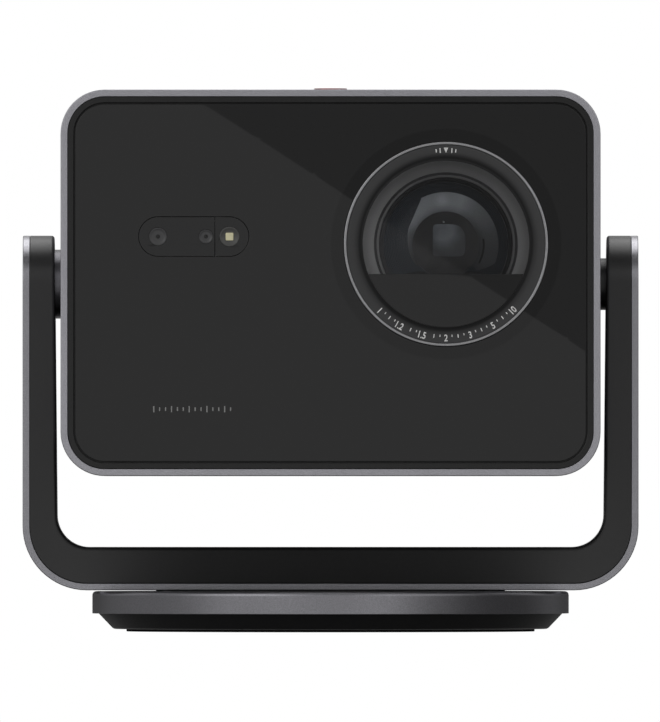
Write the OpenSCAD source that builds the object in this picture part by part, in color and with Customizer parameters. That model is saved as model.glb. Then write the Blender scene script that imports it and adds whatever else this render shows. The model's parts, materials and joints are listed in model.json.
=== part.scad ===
// Home projector on a yoke stand: a tilting head between two arms, on a round turning base.
// Millimetres. Z is up, the lens looks along -Y, and the origin is the centre of the base's underside.

/* [Head] */
// Width of the head
head_w = 217.5; // [210:0.1:219]
// Height of the head
head_h = 155.7; // [150:0.1:157]
// Distance from the tilt axis to the front edge
head_front = 85; // [80:1:88]
// Distance from the tilt axis to the back face
head_back = 80; // [78:1:82]
// Corner radius of the head seen from the front
head_r = 17.8; // [16:0.1:20]
// Thickness of the aluminium sleeve, which shows as the rim round the front
rim = 2.8; // [2.4:0.1:3]

/* [Front] */
// Gap between the black bezel and the front glass
glass_gap = 0.5; // [0.3:0.1:0.8]
// Width of the black bezel round the glass
bezel_w = 2.5; // [2:0.1:3]
// Corner radius of the front glass
glass_r = 12; // [10:0.5:13]
// Thickness of the front glass
glass_t = 2; // [1.5:0.1:2.5]

/* [Lens] */
// Lens axis, to the right of the head's centre
lens_x = 46.5; // [44:0.1:49]
// Lens axis, above the tilt axis
lens_z = 15.6; // [14:0.1:18]
// Outer radius of the bright trim ring
trim_r = 41.2; // [41:0.1:42]
// Radius of the flat cover glass
window_r = 33.5; // [33:0.1:34]
// Bore radius of the lens barrel, in which the lens carriage slides
barrel_bore_r = 27.05; // [27.02:0.01:27.08]
// Focus travel of the lens carriage each way
focus_travel = 1.5; // [1:0.1:1.6]

/* [Stand] */
// Width over both arms
stand_w = 249.4; // [248:0.1:252]
// Height of the tilt axis
tilt_z = 140.8; // [140:0.1:144]
// Depth of the arms, front to back
arm_depth = 39.3; // [34:0.1:42]
// Thickness of the aluminium strip round the outside of the yoke
strip_t = 2.8; // [2.4:0.1:3]
// Outer corner radius of the yoke
yoke_r = 26; // [24:0.5:28]
// Inner corner radius of the yoke
yoke_inner_r = 13; // [11:0.5:14]

/* [Base] */
// Radius of the aluminium base
base_r = 96.6; // [95:0.1:99]
// Height of the top of the base
base_top = 16.3; // [16:0.1:16.6]
// Radius of the turntable under the yoke
turntable_r = 70.8; // [66:0.1:74]
// Radius of the tripod thread under the base
tripod_r = 3.175; // [3.175, 4.7625]

/* [Hidden] */
$fn = 96;

// Clearances: snug is one piece laid against another, run is a turning or sliding fit.
snug = 0.1;
run = 0.05;
joint_gap = 0.35;

// Base levels, from the table up
pan_z = 1;
pan_top = 7.3;
pan_r = 88;
pan_top_r = 94;
pan_floor = 2.4;
foot_r = 82.75;
foot_w = 16.75;
foot_seat = 2.2;
band_t = 2.5;
hub_z = 8.3;
recess_z = 14.8;
thrust_t = 0.3;
turntable_z = recess_z + thrust_t + run;
yoke_z = 16.7;
base_screw_r = 50;
base_thread_r = 1.5;

// Pan bearing
shaft_r = 12;
shaft_bore = 8.5;
bushing_r = 15;
hub_r = 20;
shaft_flange_r = 17.2;
shaft_flange_t = 2.5;
shaft_low = 6.4;
nut_r = 18;
nut_t = 1.85;
turntable_screw_r = 15.2;
turntable_thread_r = 1.25;
insert_r = 5.5;

// Yoke
half_w = stand_w / 2;
strip_bottom = 2.7;
cavity_z = yoke_z + strip_bottom;
crossbar_top = 34.2;
arm_inner_top = 111.9;
arm_inner_low = 110.8;
arm_top = tilt_z + arm_depth / 2;
cover_t = 1.8;
spine_t = 3;
spine_in = 113.8;
spine_r = 18.8;
spine_z = cavity_z + shaft_flange_t;

// Tilt bearings
pivot_r = 8;
pivot_bore = 5;
tilt_bushing_r = 9.5;
boss_hub_r = 10;
left_boss_r = 14;
right_boss_r = 10.5;
boss_face = head_w / 2 + joint_gap;
pivot_end = 119.9;
tilt_nut_t = 2.9;

// Head levels: front is measured forward of the tilt axis
bezel_front = head_front - 0.4;
glass_front = head_front - 0.5;
glass_back = glass_front - glass_t;
inner_w = head_w - 2 * rim;
inner_h = head_h - 2 * rim;
inner_r = head_r - rim;
glass_w = inner_w - 2 * (snug + bezel_w + glass_gap);
glass_h = inner_h - 2 * (snug + bezel_w + glass_gap);
head_join = 52;
back_r = 24;
cover_wall = 2.5;
plate_t = 3;
chassis_front = 68;

// Sensors, from the head's centre
sensor_z = 18.6;
sensor_x = -55.1;
sensor_w = 44.3;
sensor_h = 15.8;
camera_x = -69.5;
range_x = -50.2;
light_x = -40.7;

// Lens stack, forward of the tilt axis
name_r = trim_r - 1.2;
baffle_r = 29;
baffle_low = 73;
lens_flange_r = 33.4;
barrel_front = 72.4;
barrel_r = 30;
barrel_back = 22;
carriage_r = barrel_bore_r - run;
opening_r = 25.2;
element_r = 26;
inner_opening_r = 13.4;
ring_front = 52;
ring_back = 40;
gear_front = 46;
mask_drop = 12.1;
pin_z = 46;
pin_r = 1.5;
pin_slot = 2 * (pin_r + focus_travel) + 1;

// Focus gears
gear_module = 1;
ring_teeth = 70;
pinion_teeth = 14;
backlash = 0.5;
gear_spacing = gear_module * (ring_teeth + pinion_teeth) / 2 + 0.15;
pinion_angle = 225;

// Power button
button_x = 0;
button_y = -45;
button_r = 6.6;
button_proud = 0.9;
button_press = 0.5;

// Cooling and sound
fan_size = 60;
fan_depth = 15;
fan_x = 34;
fan_z = 14;
fan_y = 55;
rotor_r = 27.6;
rotor_hub_r = 11;
blades = 7;
grille_y = [24, 46];
grille_h = 116;
exhaust_w = 140;
exhaust_h = 66;

// Ports, on the back
port_z = -41;
port_w = 116;
port_h = 20;
port_depth = 7;
panel_y = head_back - port_depth - 2;
hdmi_x = [-44, -22];
usb_x = [2, 20];
audio_x = 35;
inlet_x = 48;

// ---- Shared shapes ----

// A flat outline drawn in X and Z, made solid from y0 to y1
module along_y(y0, y1) translate([0, y1, 0]) rotate([90, 0, 0]) linear_extrude(y1 - y0) children();

// A flat outline drawn in Y and Z, made solid from x0 to x1
module along_x(x0, x1) translate([x0, 0, 0]) rotate([90, 0, 90]) linear_extrude(x1 - x0) children();

// Moves a piece from the head's own centre to its place
module in_head() translate([0, 0, tilt_z]) children();

// Turns a piece round the lens axis: its local Z is the distance forward of the tilt axis
module on_lens() in_head() translate([lens_x, 0, lens_z]) rotate([90, 0, 0]) children();

// Turns a piece round the tilt axis, from the head's side outward
module on_pivot(side) in_head() rotate([0, side * 90, 0]) children();

module rounded_rect(w, h, r) {
    square([w - 2 * r, h], center = true);
    square([w, h - 2 * r], center = true);
    for (x = [-1, 1], y = [-1, 1])
        translate([x * (w / 2 - r), y * (h / 2 - r)]) circle(r);
}

module pill(w, h) {
    square([w - h, h], center = true);
    for (x = [-1, 1]) translate([x * (w - h) / 2, 0]) circle(h / 2);
}

module tube(r, bore, z0, z1) translate([0, 0, z0]) difference() {
    cylinder(r = r, h = z1 - z0);
    translate([0, 0, -1]) cylinder(r = bore, h = z1 - z0 + 2);
}

module rod(r, z0, z1) translate([0, 0, z0]) cylinder(r = r, h = z1 - z0);

// A box given by its two corners
module block(low, high) translate(low) cube(high - low);

// A countersunk screw with its head at the bottom; play widens its shank into a clearance hole
module screw_up(r, length, play = 0) {
    cylinder(r1 = 2 * r, r2 = r, h = r);
    cylinder(r = r + play, h = length);
}

// A piece on the right of the head and its mirror image on the left
module both_sides() for (m = [0, 1]) mirror([m, 0, 0]) children();

// ---- Base ----

module base_screw_places() for (a = [45:90:315]) rotate(a) translate([base_screw_r, 0, 0]) children();

module foot_ring() color("#111111") tube(foot_r, foot_r - foot_w, 0, foot_seat);

module base_pan() color("#1a1a1b") difference() {
    union() {
        rotate_extrude() polygon([
            [5, pan_z], [pan_r, pan_z], [pan_top_r, pan_top], [pan_top_r, pan_top + 2],
            [pan_top_r - 2.4, pan_top + 2], [pan_top_r - 2.4, pan_top], [pan_r - 0.8, pan_z + pan_floor],
            [5, pan_z + pan_floor]
        ]);
        rod(shaft_bore - 0.5, pan_z, hub_z - joint_gap);
    }
    rod(insert_r, 0, 10);
    tube(foot_r, foot_r - foot_w, 0, foot_seat);
    base_screw_places() translate([0, 0, pan_z]) screw_up(base_thread_r, 5, snug);
}

module base_shell() color("#8a898d") difference() {
    union() {
        rotate_extrude() polygon([
            [bushing_r, hub_z], [hub_r, hub_z], [hub_r, 12.3], [base_r - band_t, 12.3],
            [base_r - band_t, pan_top], [base_r, pan_top], [base_r, base_top - 1.2], [base_r - 1.2, base_top],
            [turntable_r + 0.5, base_top], [turntable_r + 0.5, recess_z], [bushing_r, recess_z]
        ]);
        base_screw_places() rod(4, pan_z + pan_floor, 13);
    }
    base_screw_places() rod(base_thread_r, 0, 12);
}

module base_weight() color("#3c3c3e") difference() {
    tube(86, 34, pan_z + pan_floor, 7.8);
    base_screw_places() rod(4.3, 0, 10);
}

module tripod_insert() color("#b08d4a") tube(insert_r, tripod_r, pan_z, 8);

module pan_bushing() color("#d8d5c8") tube(bushing_r, shaft_r + run, hub_z, recess_z);

module thrust_ring() color("#e6e4da") tube(62, 40, recess_z, recess_z + thrust_t);

module base_screws() color("#2c2c2e") base_screw_places()
    translate([0, 0, pan_z]) screw_up(base_thread_r, 9.5);

// ---- Yoke ----

module turntable_screw_places() for (a = [45:90:315]) rotate(a)
    translate([turntable_screw_r, 0, 0]) children();

module turntable() color("#1c1c1d") difference() {
    tube(turntable_r, shaft_r + snug, turntable_z, yoke_z);
    turntable_screw_places() translate([0, 0, turntable_z]) screw_up(turntable_thread_r, 5, snug);
}

module turntable_screws() color("#8f8f92") turntable_screw_places()
    translate([0, 0, turntable_z]) screw_up(turntable_thread_r, 9.4);

module pan_shaft() color("#9a9a9d") difference() {
    union() {
        tube(shaft_r, shaft_bore, shaft_low, spine_z);
        tube(shaft_flange_r, shaft_bore, cavity_z, spine_z);
    }
    turntable_screw_places() rod(turntable_thread_r, 0, 40);
}

module pan_nut() color("#77777a") difference() {
    tube(nut_r, shaft_r, shaft_low, shaft_low + nut_t);
    for (a = [0:60:300]) rotate(a) translate([nut_r, 0, 0]) rod(1.5, 0, 10);
}

// The side view of the arms: straight, with a half-round top about the tilt axis
module stand_side(inset) {
    translate([inset - arm_depth / 2, 0]) square([arm_depth - 2 * inset, tilt_z]);
    translate([0, tilt_z]) circle(arm_depth / 2 - inset);
}

// The front view of a trough with round lower corners, open at the top
module trough(half, low, r) {
    translate([-half, low + r]) square([2 * half, 200 - low - r]);
    translate([r - half, low]) square([2 * (half - r), 200 - low]);
    for (x = [-1, 1]) translate([x * (half - r), low + r]) circle(r);
}

// The opening between the arms, a little wider at the top
module arm_opening(wall) {
    low = crossbar_top - wall;
    r = yoke_inner_r + wall;
    bottom = arm_inner_low + wall;
    top = arm_inner_top + wall;
    polygon([
        [-bottom, low + r], [bottom, low + r], [top, arm_top], [top, 200], [-top, 200], [-top, arm_top]
    ]);
    translate([r - bottom, low]) square([2 * (bottom - r), 2 * r]);
    for (x = [-1, 1]) translate([x * (bottom - r), low + r]) circle(r);
}

module yoke_frame() color("#8a898d") difference() {
    intersection() {
        along_y(-arm_depth / 2, arm_depth / 2) difference() {
            trough(half_w, yoke_z, yoke_r);
            trough(half_w - strip_t, cavity_z, yoke_r - strip_t);
        }
        along_x(-half_w - 1, half_w + 1) stand_side(0);
    }
    rod(shaft_r, 0, 30);
    turntable_screw_places() rod(turntable_thread_r + snug, 0, 30);
}

module yoke_cover() color("#232324") difference() {
    intersection() {
        along_y(-arm_depth / 2, arm_depth / 2) difference() {
            trough(half_w - strip_t - snug, cavity_z + snug, yoke_r - strip_t - snug);
            arm_opening(0);
        }
        along_x(-half_w, half_w) stand_side(0);
    }
    intersection() {
        along_y(-arm_depth / 2, arm_depth / 2) difference() {
            trough(half_w, yoke_z, yoke_r);
            arm_opening(cover_t);
        }
        along_x(-half_w - 1, half_w + 1) stand_side(cover_t);
    }
    on_pivot(-1) rod(left_boss_r + snug, 100, 120);
    on_pivot(1) rod(right_boss_r + snug, 100, 120);
}

module yoke_spine() color("#6d6d70") difference() {
    intersection() {
        along_y(-15, 15) difference() {
            trough(spine_in + spine_t, spine_z, spine_r);
            trough(spine_in, spine_z + spine_t, spine_r - spine_t);
        }
        along_x(-half_w, half_w) stand_side(4.2);
    }
    for (side = [-1, 1]) on_pivot(side) rod(boss_hub_r, 100, 120);
    rod(shaft_bore, 0, 30);
    turntable_screw_places() rod(turntable_thread_r, 0, 30);
}

module boss(side, r, tint) color(tint) on_pivot(side) difference() {
    union() {
        rod(r, boss_face, spine_in);
        rod(boss_hub_r, spine_in, spine_in + spine_t);
    }
    rod(tilt_bushing_r, 100, 120);
}

module left_boss() boss(-1, left_boss_r, "#b9b9bd");

module right_boss() boss(1, right_boss_r, "#1b1b1c");

module tilt_bushings() color("#d8d5c8") for (side = [-1, 1])
    on_pivot(side) tube(tilt_bushing_r, pivot_r + run, boss_face, spine_in + spine_t);

// ---- Head: tilt shafts and shell ----

module trunnions() color("#98989c") for (side = [-1, 1]) on_pivot(side) {
    tube(pivot_r, pivot_bore, inner_w / 2 - plate_t - 2.5, pivot_end);
    tube(16, pivot_bore, inner_w / 2 - plate_t - 2.5, inner_w / 2 - plate_t);
}

module tilt_nuts() color("#6a6a6d") for (side = [-1, 1]) on_pivot(side) difference() {
    tube(11, pivot_r, pivot_end - tilt_nut_t, pivot_end);
    for (a = [0:90:270]) rotate(a) translate([11, 0, 0]) rod(1.2, 100, 130);
}

module head_sleeve() color("#8a898d") in_head() difference() {
    along_y(-head_front, head_join) difference() {
        rounded_rect(head_w, head_h, head_r);
        rounded_rect(inner_w, inner_h, inner_r);
    }
    both_sides() {
        rotate([0, 90, 0]) rod(pivot_r + snug, 100, 120);
        side_window(0);
    }
    translate([button_x, button_y, 60]) cylinder(r = button_r + joint_gap, h = 40);
}

// The window in the right side of the sleeve that the speaker grille fills
module side_window(inset) block(
    [head_w / 2 - 3, grille_y[0] + inset, inset - grille_h / 2],
    [head_w / 2, grille_y[1] - inset, grille_h / 2 - inset]);

module side_grilles() color("#1d1d1e") in_head() both_sides() difference() {
    side_window(snug);
    for (z = [-54:4:54]) translate([head_w / 2, (grille_y[0] + grille_y[1]) / 2, z])
        cube([20, 17, 1.8], center = true);
}

module front_bezel() color("#1e1e1f") in_head() {
    along_y(-bezel_front, -glass_back) difference() {
        rounded_rect(inner_w - 2 * snug, inner_h - 2 * snug, inner_r - snug);
        rounded_rect(glass_w + 2 * glass_gap, glass_h + 2 * glass_gap, glass_r + glass_gap);
    }
    along_y(-glass_back, -glass_back + 2.4) difference() {
        rounded_rect(inner_w - 2 * snug, inner_h - 2 * snug, inner_r - snug);
        rounded_rect(glass_w - 12, glass_h - 12, glass_r - 5);
    }
}

module front_glass() color("#161617") in_head() along_y(-glass_front, -glass_back) difference() {
    rounded_rect(glass_w, glass_h, glass_r);
    translate([lens_x, lens_z]) circle(trim_r + snug);
    translate([sensor_x, sensor_z]) pill(sensor_w + 2 * snug, sensor_h + 2 * snug);
}

// ---- Sensors ----

module sensor_window() color("#101012") in_head() along_y(0.1 - glass_front, 1.4 - glass_front)
    translate([sensor_x, sensor_z]) pill(sensor_w, sensor_h);

// Brings a piece to the back of the sensor window, with local Z pointing forward
module at_sensor(x) in_head() translate([x, 0, sensor_z]) rotate([90, 0, 0]) children();

// The camera shares its circuit board with the other two sensors
module camera_module() color("#2a2a2d") at_sensor(camera_x) difference() {
    union() {
        rod(3.65, 79, glass_front - 1.5);
        translate([-4.5, -4.5, 76]) cube([9, 9, 3]);
        translate([-7, -6, 74.5]) cube([light_x - camera_x + 14, 12, 1.5]);
        for (x = [-5, light_x - camera_x + 5]) translate([x, 0, 0]) rod(1.6, chassis_front, 75);
    }
    rod(0.75, 80, 90);
}

module range_module() color("#2a2a2d") at_sensor(range_x) difference() {
    union() {
        rod(2.9, 79, glass_front - 1.5);
        translate([-3.6, -4, 76]) cube([7.2, 8, 3]);
    }
    rod(0.7, 80, 90);
}

module fill_light() color("#e9e2b0") at_sensor(light_x) {
    tube(4.05, 3.3, 79, glass_front - 1.5);
    translate([-4.3, -4.3, 76]) cube([8.6, 8.6, 3]);
    translate([-1.55, -1.55, 79]) cube([3.1, 3.1, 1.4]);
}

// ---- Lens, fixed pieces ----

module lens_trim_ring() color("#c9c9cc") on_lens() {
    tube(trim_r, name_r + run, glass_back - 2, head_front - 0.1);
    tube(43.5, name_r + run, glass_back - 2.1, glass_back - snug);
}

module lens_name_ring() color("#161617") on_lens()
    tube(name_r, window_r + run, glass_back - 1, glass_front);

// The round opening is glass above a straight edge and a black mask below it, flush with the glass
module lens_opening(low, high) intersection() {
    rod(window_r, glass_front - 1.5, glass_front - 0.05);
    block([-50, low, 0], [50, high, 100]);
}

module lens_window() color("#20242b") on_lens() lens_opening(-mask_drop, 50);

module lens_mask() color("#0d0d0e") on_lens() lens_opening(-50, -mask_drop - run);

module lens_baffle() color("#4a4b4e") on_lens() rotate_extrude() polygon([
    [window_r - 0.2, 81.2], [39.5, 81.2], [39.5, 79.7], [window_r + 1.2, 79.7],
    [baffle_r + 1.4, baffle_low], [baffle_r, baffle_low]
]);

module lens_barrel() color("#3a3a3d") on_lens() difference() {
    union() {
        tube(barrel_r, barrel_bore_r, barrel_back, barrel_front);
        tube(lens_flange_r, barrel_bore_r, barrel_back, barrel_back + 3);
    }
    // Slots that let the carriage's pins through and keep it from turning
    for (a = [30:120:270]) rotate(a) translate([30, 0, pin_z]) cube([20, 4, pin_slot], center = true);
}

// ---- Lens, moving pieces ----

// One gear tooth, straight-sided, thinned by the backlash
module tooth(pitch_r) {
    root = 1.25 * gear_module;
    tip = gear_module;
    half = (PI * gear_module - backlash) / 4;
    polygon([
        [pitch_r - root - 1, half + 0.35], [pitch_r - root, half + 0.35], [pitch_r, half],
        [pitch_r + tip, half - 0.42], [pitch_r + tip, 0.42 - half], [pitch_r, -half],
        [pitch_r - root, -half - 0.35], [pitch_r - root - 1, -half - 0.35]
    ]);
}

module gear_outline(teeth) {
    pitch_r = gear_module * teeth / 2;
    circle(pitch_r - 1.25 * gear_module);
    for (i = [0:teeth - 1]) rotate(360 * i / teeth) tooth(pitch_r);
}

// The ring's tooth number 0 points at the pinion, whose own gap faces it
module focus_ring() color("#5c5c60") on_lens() difference() {
    union() {
        translate([0, 0, ring_back]) rotate(pinion_angle) linear_extrude(gear_front - ring_back)
            gear_outline(ring_teeth);
        rod(33.6, gear_front, ring_front);
    }
    rod(barrel_r + run, 0, 100);
    rod(31.9, pin_z - pin_slot / 2 - 0.5, pin_z + pin_slot / 2 + 0.5);
}

module focus_pinion() color("#c9b98a") on_lens() rotate(pinion_angle) translate([gear_spacing, 0, 0]) {
    translate([0, 0, ring_back]) rotate(180 / pinion_teeth + 180) linear_extrude(gear_front - ring_back)
        gear_outline(pinion_teeth);
    rod(1.5, 26, ring_back + 1);
}

module focus_motor() color("#77777b") on_lens() rotate(pinion_angle) translate([gear_spacing, 0, 0])
    difference() {
        union() {
            rod(8, 23, 38);
            translate([-5, -12, 37]) cube([10, 24, 1.5]);
        }
        rod(1.5 + run, 25, 50);
    }

module lens_carriage() color("#242427") on_lens() {
    rotate_extrude() polygon([
        [12, 30], [carriage_r, 30], [carriage_r, 70.4], [opening_r, 70.4], [opening_r, 69.6],
        [element_r, 69.6], [element_r, 64], [opening_r, 64], [opening_r, 60],
        [inner_opening_r, 50], [inner_opening_r, 47], [23.5, 47], [23.5, 33], [12, 33]
    ]);
    // Pins that follow the focus ring's groove
    for (a = [30:120:270]) rotate(a) translate([carriage_r - 1, 0, pin_z]) rotate([0, 90, 0])
        cylinder(r = pin_r, h = 5.6);
}

module front_element() color("#2b3440") on_lens() intersection() {
    rod(element_r - snug, 64.1, 72);
    translate([0, 0, 9.8]) sphere(60);
}

module rear_element() color("#2b3440") on_lens() intersection() {
    rod(23.4, 33.1, 46);
    translate([0, 0, -6]) sphere(48);
}

// ---- Head, inside ----

module chassis() color("#55565a") in_head() difference() {
    union() {
        along_y(-chassis_front, plate_t - chassis_front)
            rounded_rect(inner_w - 1, inner_h - 1, inner_r - 0.5);
        both_sides() block([inner_w / 2 - plate_t, -chassis_front, -59], [inner_w / 2, 18, 57]);
        block([-91, -chassis_front, -inner_h / 2], [91, 48, plate_t - inner_h / 2]);
    }
    both_sides() rotate([0, 90, 0]) rod(pivot_r + snug, 90, 120);
    translate([lens_x, 0, lens_z]) rotate([90, 0, 0]) rod(39, 50, 80);
    // Lightening window, clear of the lens and the sensors
    block([-90, -80, -60], [-5, -60, 0]);
}

module light_engine() color("#6e6f73") in_head() difference() {
    block([lens_x - 37, -22, lens_z - 36], [lens_x + 37, 26, lens_z + 36]);
    translate([lens_x, 0, lens_z]) rotate([90, 0, 0]) rod(24, -20, 30);
    block([lens_x - 34, -18, lens_z - 33], [lens_x + 34, 22, lens_z + 33]);
}

module laser_module() color("#8c8271") in_head() difference() {
    block([-50, -16, -14], [lens_x - 37.1, 20, 40]);
    for (x = [-40:12:0], z = [0:13:30]) translate([x, -17, z]) rotate([-90, 0, 0]) cylinder(r = 3, h = 8);
}

module dmd_board() color("#1f4a33") in_head()
    block([lens_x - 30, 26.1, lens_z - 28], [lens_x + 30, 27.7, lens_z + 28]);

module dmd_heatsink() color("#9b9ca0") in_head() {
    block([lens_x - 26, 27.8, lens_z - 24], [lens_x + 26, 31, lens_z + 24]);
    for (x = [-24:6:24]) block([lens_x + x - 0.6, 31, lens_z - 24], [lens_x + x + 0.6, 46, lens_z + 24]);
}

module heat_pipes() color("#b87549") in_head() for (z = [-4, 12, 28]) {
    translate([-92, 24, z]) rotate([0, 90, 0]) cylinder(r = 3, h = 86);
    translate([-6, 20.1, z]) rotate([-90, 0, 0]) cylinder(r = 3, h = 3.9);
    translate([-6, 24, z]) sphere(3);
}

module fin_stack() color("#a5a6aa") in_head() difference() {
    for (i = [0:17]) block([-92 + 4.4 * i, 29 - 12, -14], [-91.4 + 4.4 * i, 48, 40]);
    for (z = [-4, 12, 28]) translate([-100, 24, z]) rotate([0, 90, 0]) cylinder(r = 3, h = 110);
    block([-51, -20, -20], [20, 20.1, 45]);
}

// ---- Cooling ----

module fan_place(side) in_head() translate([side * fan_x, fan_y, fan_z]) rotate([-90, 0, 0]) children();

module fan_frames() color("#1b1b1d") for (side = [-1, 1]) fan_place(side) {
    difference() {
        translate([-fan_size / 2, -fan_size / 2, 0]) cube([fan_size, fan_size, fan_depth]);
        rod(rotor_r + 1, -1, 20);
        for (x = [-1, 1], y = [-1, 1]) translate([25 * x, 25 * y, -1]) cylinder(r = 2.1, h = 20);
    }
    rod(rotor_hub_r, 0, 1.5);
    rod(2, 0, 5);
    for (a = [0:120:240]) rotate(a + 30) translate([rotor_hub_r - 1, -1.5, 0])
        cube([rotor_r - rotor_hub_r + 3, 3, 1.5]);
}

module rotor(side) color("#2a2a2d") fan_place(side) {
    difference() {
        rod(rotor_hub_r, 2, 13.5);
        rod(rotor_hub_r - 1.5, 0, 11.5);
    }
    tube(3.5, 2 + run, 2.2, 5.4);
    rod(3.5, 5.4, 12);
    intersection() {
        tube(rotor_r, rotor_hub_r - 0.5, 2.5, 13);
        for (i = [0:blades - 1]) rotate(360 * i / blades) translate([rotor_hub_r - 1, 0, 7.75])
            rotate([40, 0, 0]) translate([0, -8, -0.6]) cube([20, 16, 1.2]);
    }
}

module left_rotor() rotor(-1);

module right_rotor() rotor(1);

// ---- Electronics and sound ----

module main_board() color("#1d4a35") in_head() {
    block([-96, -58, 62], [96, 44, 63.6]);
    for (x = [-70, -30]) block([x, -40, 60], [x + 18, -22, 62]);
    block([30, -46, 58.5], [58, -22, 62]);
    block([70, -10, 59], [88, 20, 62]);
}

module speaker_boxes() color("#202022") in_head() both_sides() difference() {
    block([54.5, 18.5, -65.5], [104.5, 51, -22]);
    block([56.5, 20.5, -63.5], [102.5, 49, -24]);
    speaker_place() rod(13.6, 5, 20);
}

module speaker_place() translate([90, 34.75, -46]) rotate([0, 90, 0]) children();

module speaker_drivers() color("#303033") in_head() both_sides() speaker_place() {
    tube(13.5, 11.5, 9, 14.5);
    rotate_extrude() polygon([[0, 8], [5, 8], [11.5, 13], [11.5, 14], [4.6, 9], [0, 9]]);
    rod(8, -6, 4);
    tube(5, 4.4, 4, 8);
    tube(13.5, 7, 3.2, 4);
    for (a = [45:90:315]) rotate(a) translate([11.6, -1.5, 4]) cube([1.8, 3, 5]);
}

// ---- Back of the head ----

module back_corners(depth, length, r) {
    translate([head_join - 1, -length / 2]) square([depth - r - head_join + 1, length]);
    translate([head_join - 1, r - length / 2]) square([depth - head_join + 1, length - 2 * r]);
    for (y = [-1, 1]) translate([depth - r, y * (length / 2 - r)]) circle(r);
}

module back_form(inset) intersection() {
    along_y(head_join - inset, head_back - inset)
        rounded_rect(head_w - 2 * inset, head_h - 2 * inset, head_r - inset);
    along_x(-head_w, head_w) back_corners(head_back - inset, head_h - 2 * inset, back_r - inset);
    translate([0, 0, -head_h]) linear_extrude(2 * head_h) rotate(90) mirror([0, 1])
        back_corners(head_back - inset, head_w - 2 * inset, back_r - inset);
}

module rear_cover() color("#1c1c1d") in_head() difference() {
    back_form(0);
    back_form(cover_wall);
    along_y(60, 100) translate([0, fan_z]) rounded_rect(exhaust_w, exhaust_h, 6);
    along_y(60, 100) translate([0, port_z]) rounded_rect(port_w, port_h, 4);
}

module rear_grille() color("#161617") in_head() difference() {
    along_y(head_back - 3, head_back - 1) translate([0, fan_z])
        rounded_rect(exhaust_w - 2 * snug, exhaust_h - 2 * snug, 6 - snug);
    for (x = [-66:4:66]) translate([x, head_back - 2, fan_z]) cube([2.2, 10, exhaust_h - 8], center = true);
}

// The recessed tray that the ports look out of
module port_panel() color("#161617") in_head() difference() {
    along_y(panel_y, head_back - 0.5) translate([0, port_z])
        rounded_rect(port_w - 2 * snug, port_h - 2 * snug, 4 - snug);
    along_y(panel_y + 2, head_back + 1) translate([0, port_z]) rounded_rect(port_w - 3, port_h - 3, 2.5);
    for (x = hdmi_x) port_hole(x, 15.2, 5.8);
    for (x = usb_x) port_hole(x, 14.4, 7);
    for (x = [audio_x, inlet_x]) translate([x, 60, port_z]) rotate([-90, 0, 0])
        cylinder(r = x == audio_x ? 3.2 : 4.7, h = 30);
}

module port_hole(x, w, h) translate([x, panel_y, port_z]) cube([w, 10, h], center = true);

// One metal port shell with its tongue, open at the back of the head
module port_shell(x, w, h, wall, depth, tongue) translate([x, 0, port_z]) {
    difference() {
        block([-w / 2, panel_y + 2 - depth, -h / 2], [w / 2, panel_y + 2, h / 2]);
        block([wall - w / 2, panel_y + 3 - depth, wall - h / 2], [w / 2 - wall, panel_y + 3, h / 2 - wall]);
    }
    block([wall + 1.5 - w / 2, panel_y + 2 - depth, tongue - 0.5],
          [w / 2 - wall - 1.5, panel_y, tongue + 0.5]);
}

module data_ports() color("#b4b5b8") in_head() {
    for (x = hdmi_x) port_shell(x, 15, 5.6, 0.4, 11, 0);
    for (x = usb_x) port_shell(x, 14.2, 6.8, 0.4, 14, 1.2);
}

module round_ports() color("#26262a") in_head() translate([0, panel_y + 2, port_z]) rotate([90, 0, 0]) {
    translate([audio_x, 0, 0]) tube(3, 1.8, 0, 14);
    translate([inlet_x, 0, 0]) {
        tube(4.5, 2.85, 0, 11);
        rod(4.5, 11, 12);
        rod(1.2, 2, 11);
    }
}

// ---- Power button ----

module power_button() color("#8e2320") in_head() translate([button_x, button_y, 0]) {
    rod(button_r, head_h / 2 - 4, head_h / 2 + button_proud);
    rod(button_r + 1, head_h / 2 - 4, inner_h / 2 - joint_gap);
    rod(2, head_h / 2 - 6, head_h / 2 - 4);
}

module power_switch() color("#2f2f33") in_head() translate([button_x, button_y, 0]) {
    block([-9, -9, 66], [9, 9, 67.6]);
    for (x = [-7, 7], y = [-7, 7]) translate([x, y, 63.6]) cylinder(r = 1.5, h = 3);
    block([-3.5, -3.5, 67.6], [3.5, 3.5, 70]);
    rod(1.5, 70, head_h / 2 - 6 - button_press - joint_gap);
}

foot_ring();
base_pan();
base_shell();
base_weight();
tripod_insert();
pan_bushing();
thrust_ring();
base_screws();
turntable();
turntable_screws();
pan_shaft();
pan_nut();
yoke_frame();
yoke_cover();
yoke_spine();
left_boss();
right_boss();
tilt_bushings();
trunnions();
tilt_nuts();
head_sleeve();
front_bezel();
front_glass();
sensor_window();
camera_module();
range_module();
fill_light();
lens_trim_ring();
lens_name_ring();
lens_window();
lens_mask();
lens_baffle();
lens_barrel();
focus_ring();
focus_pinion();
focus_motor();
lens_carriage();
front_element();
rear_element();
chassis();
light_engine();
laser_module();
dmd_board();
dmd_heatsink();
heat_pipes();
fin_stack();
fan_frames();
left_rotor();
right_rotor();
main_board();
speaker_boxes();
speaker_drivers();
side_grilles();
rear_cover();
rear_grille();
port_panel();
data_ports();
round_ports();
power_button();
power_switch();
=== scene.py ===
import json
from math import acos, cos, pi, radians, sin, sqrt, tau

import bmesh
import bpy
from mathutils import Matrix, Vector


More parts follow.
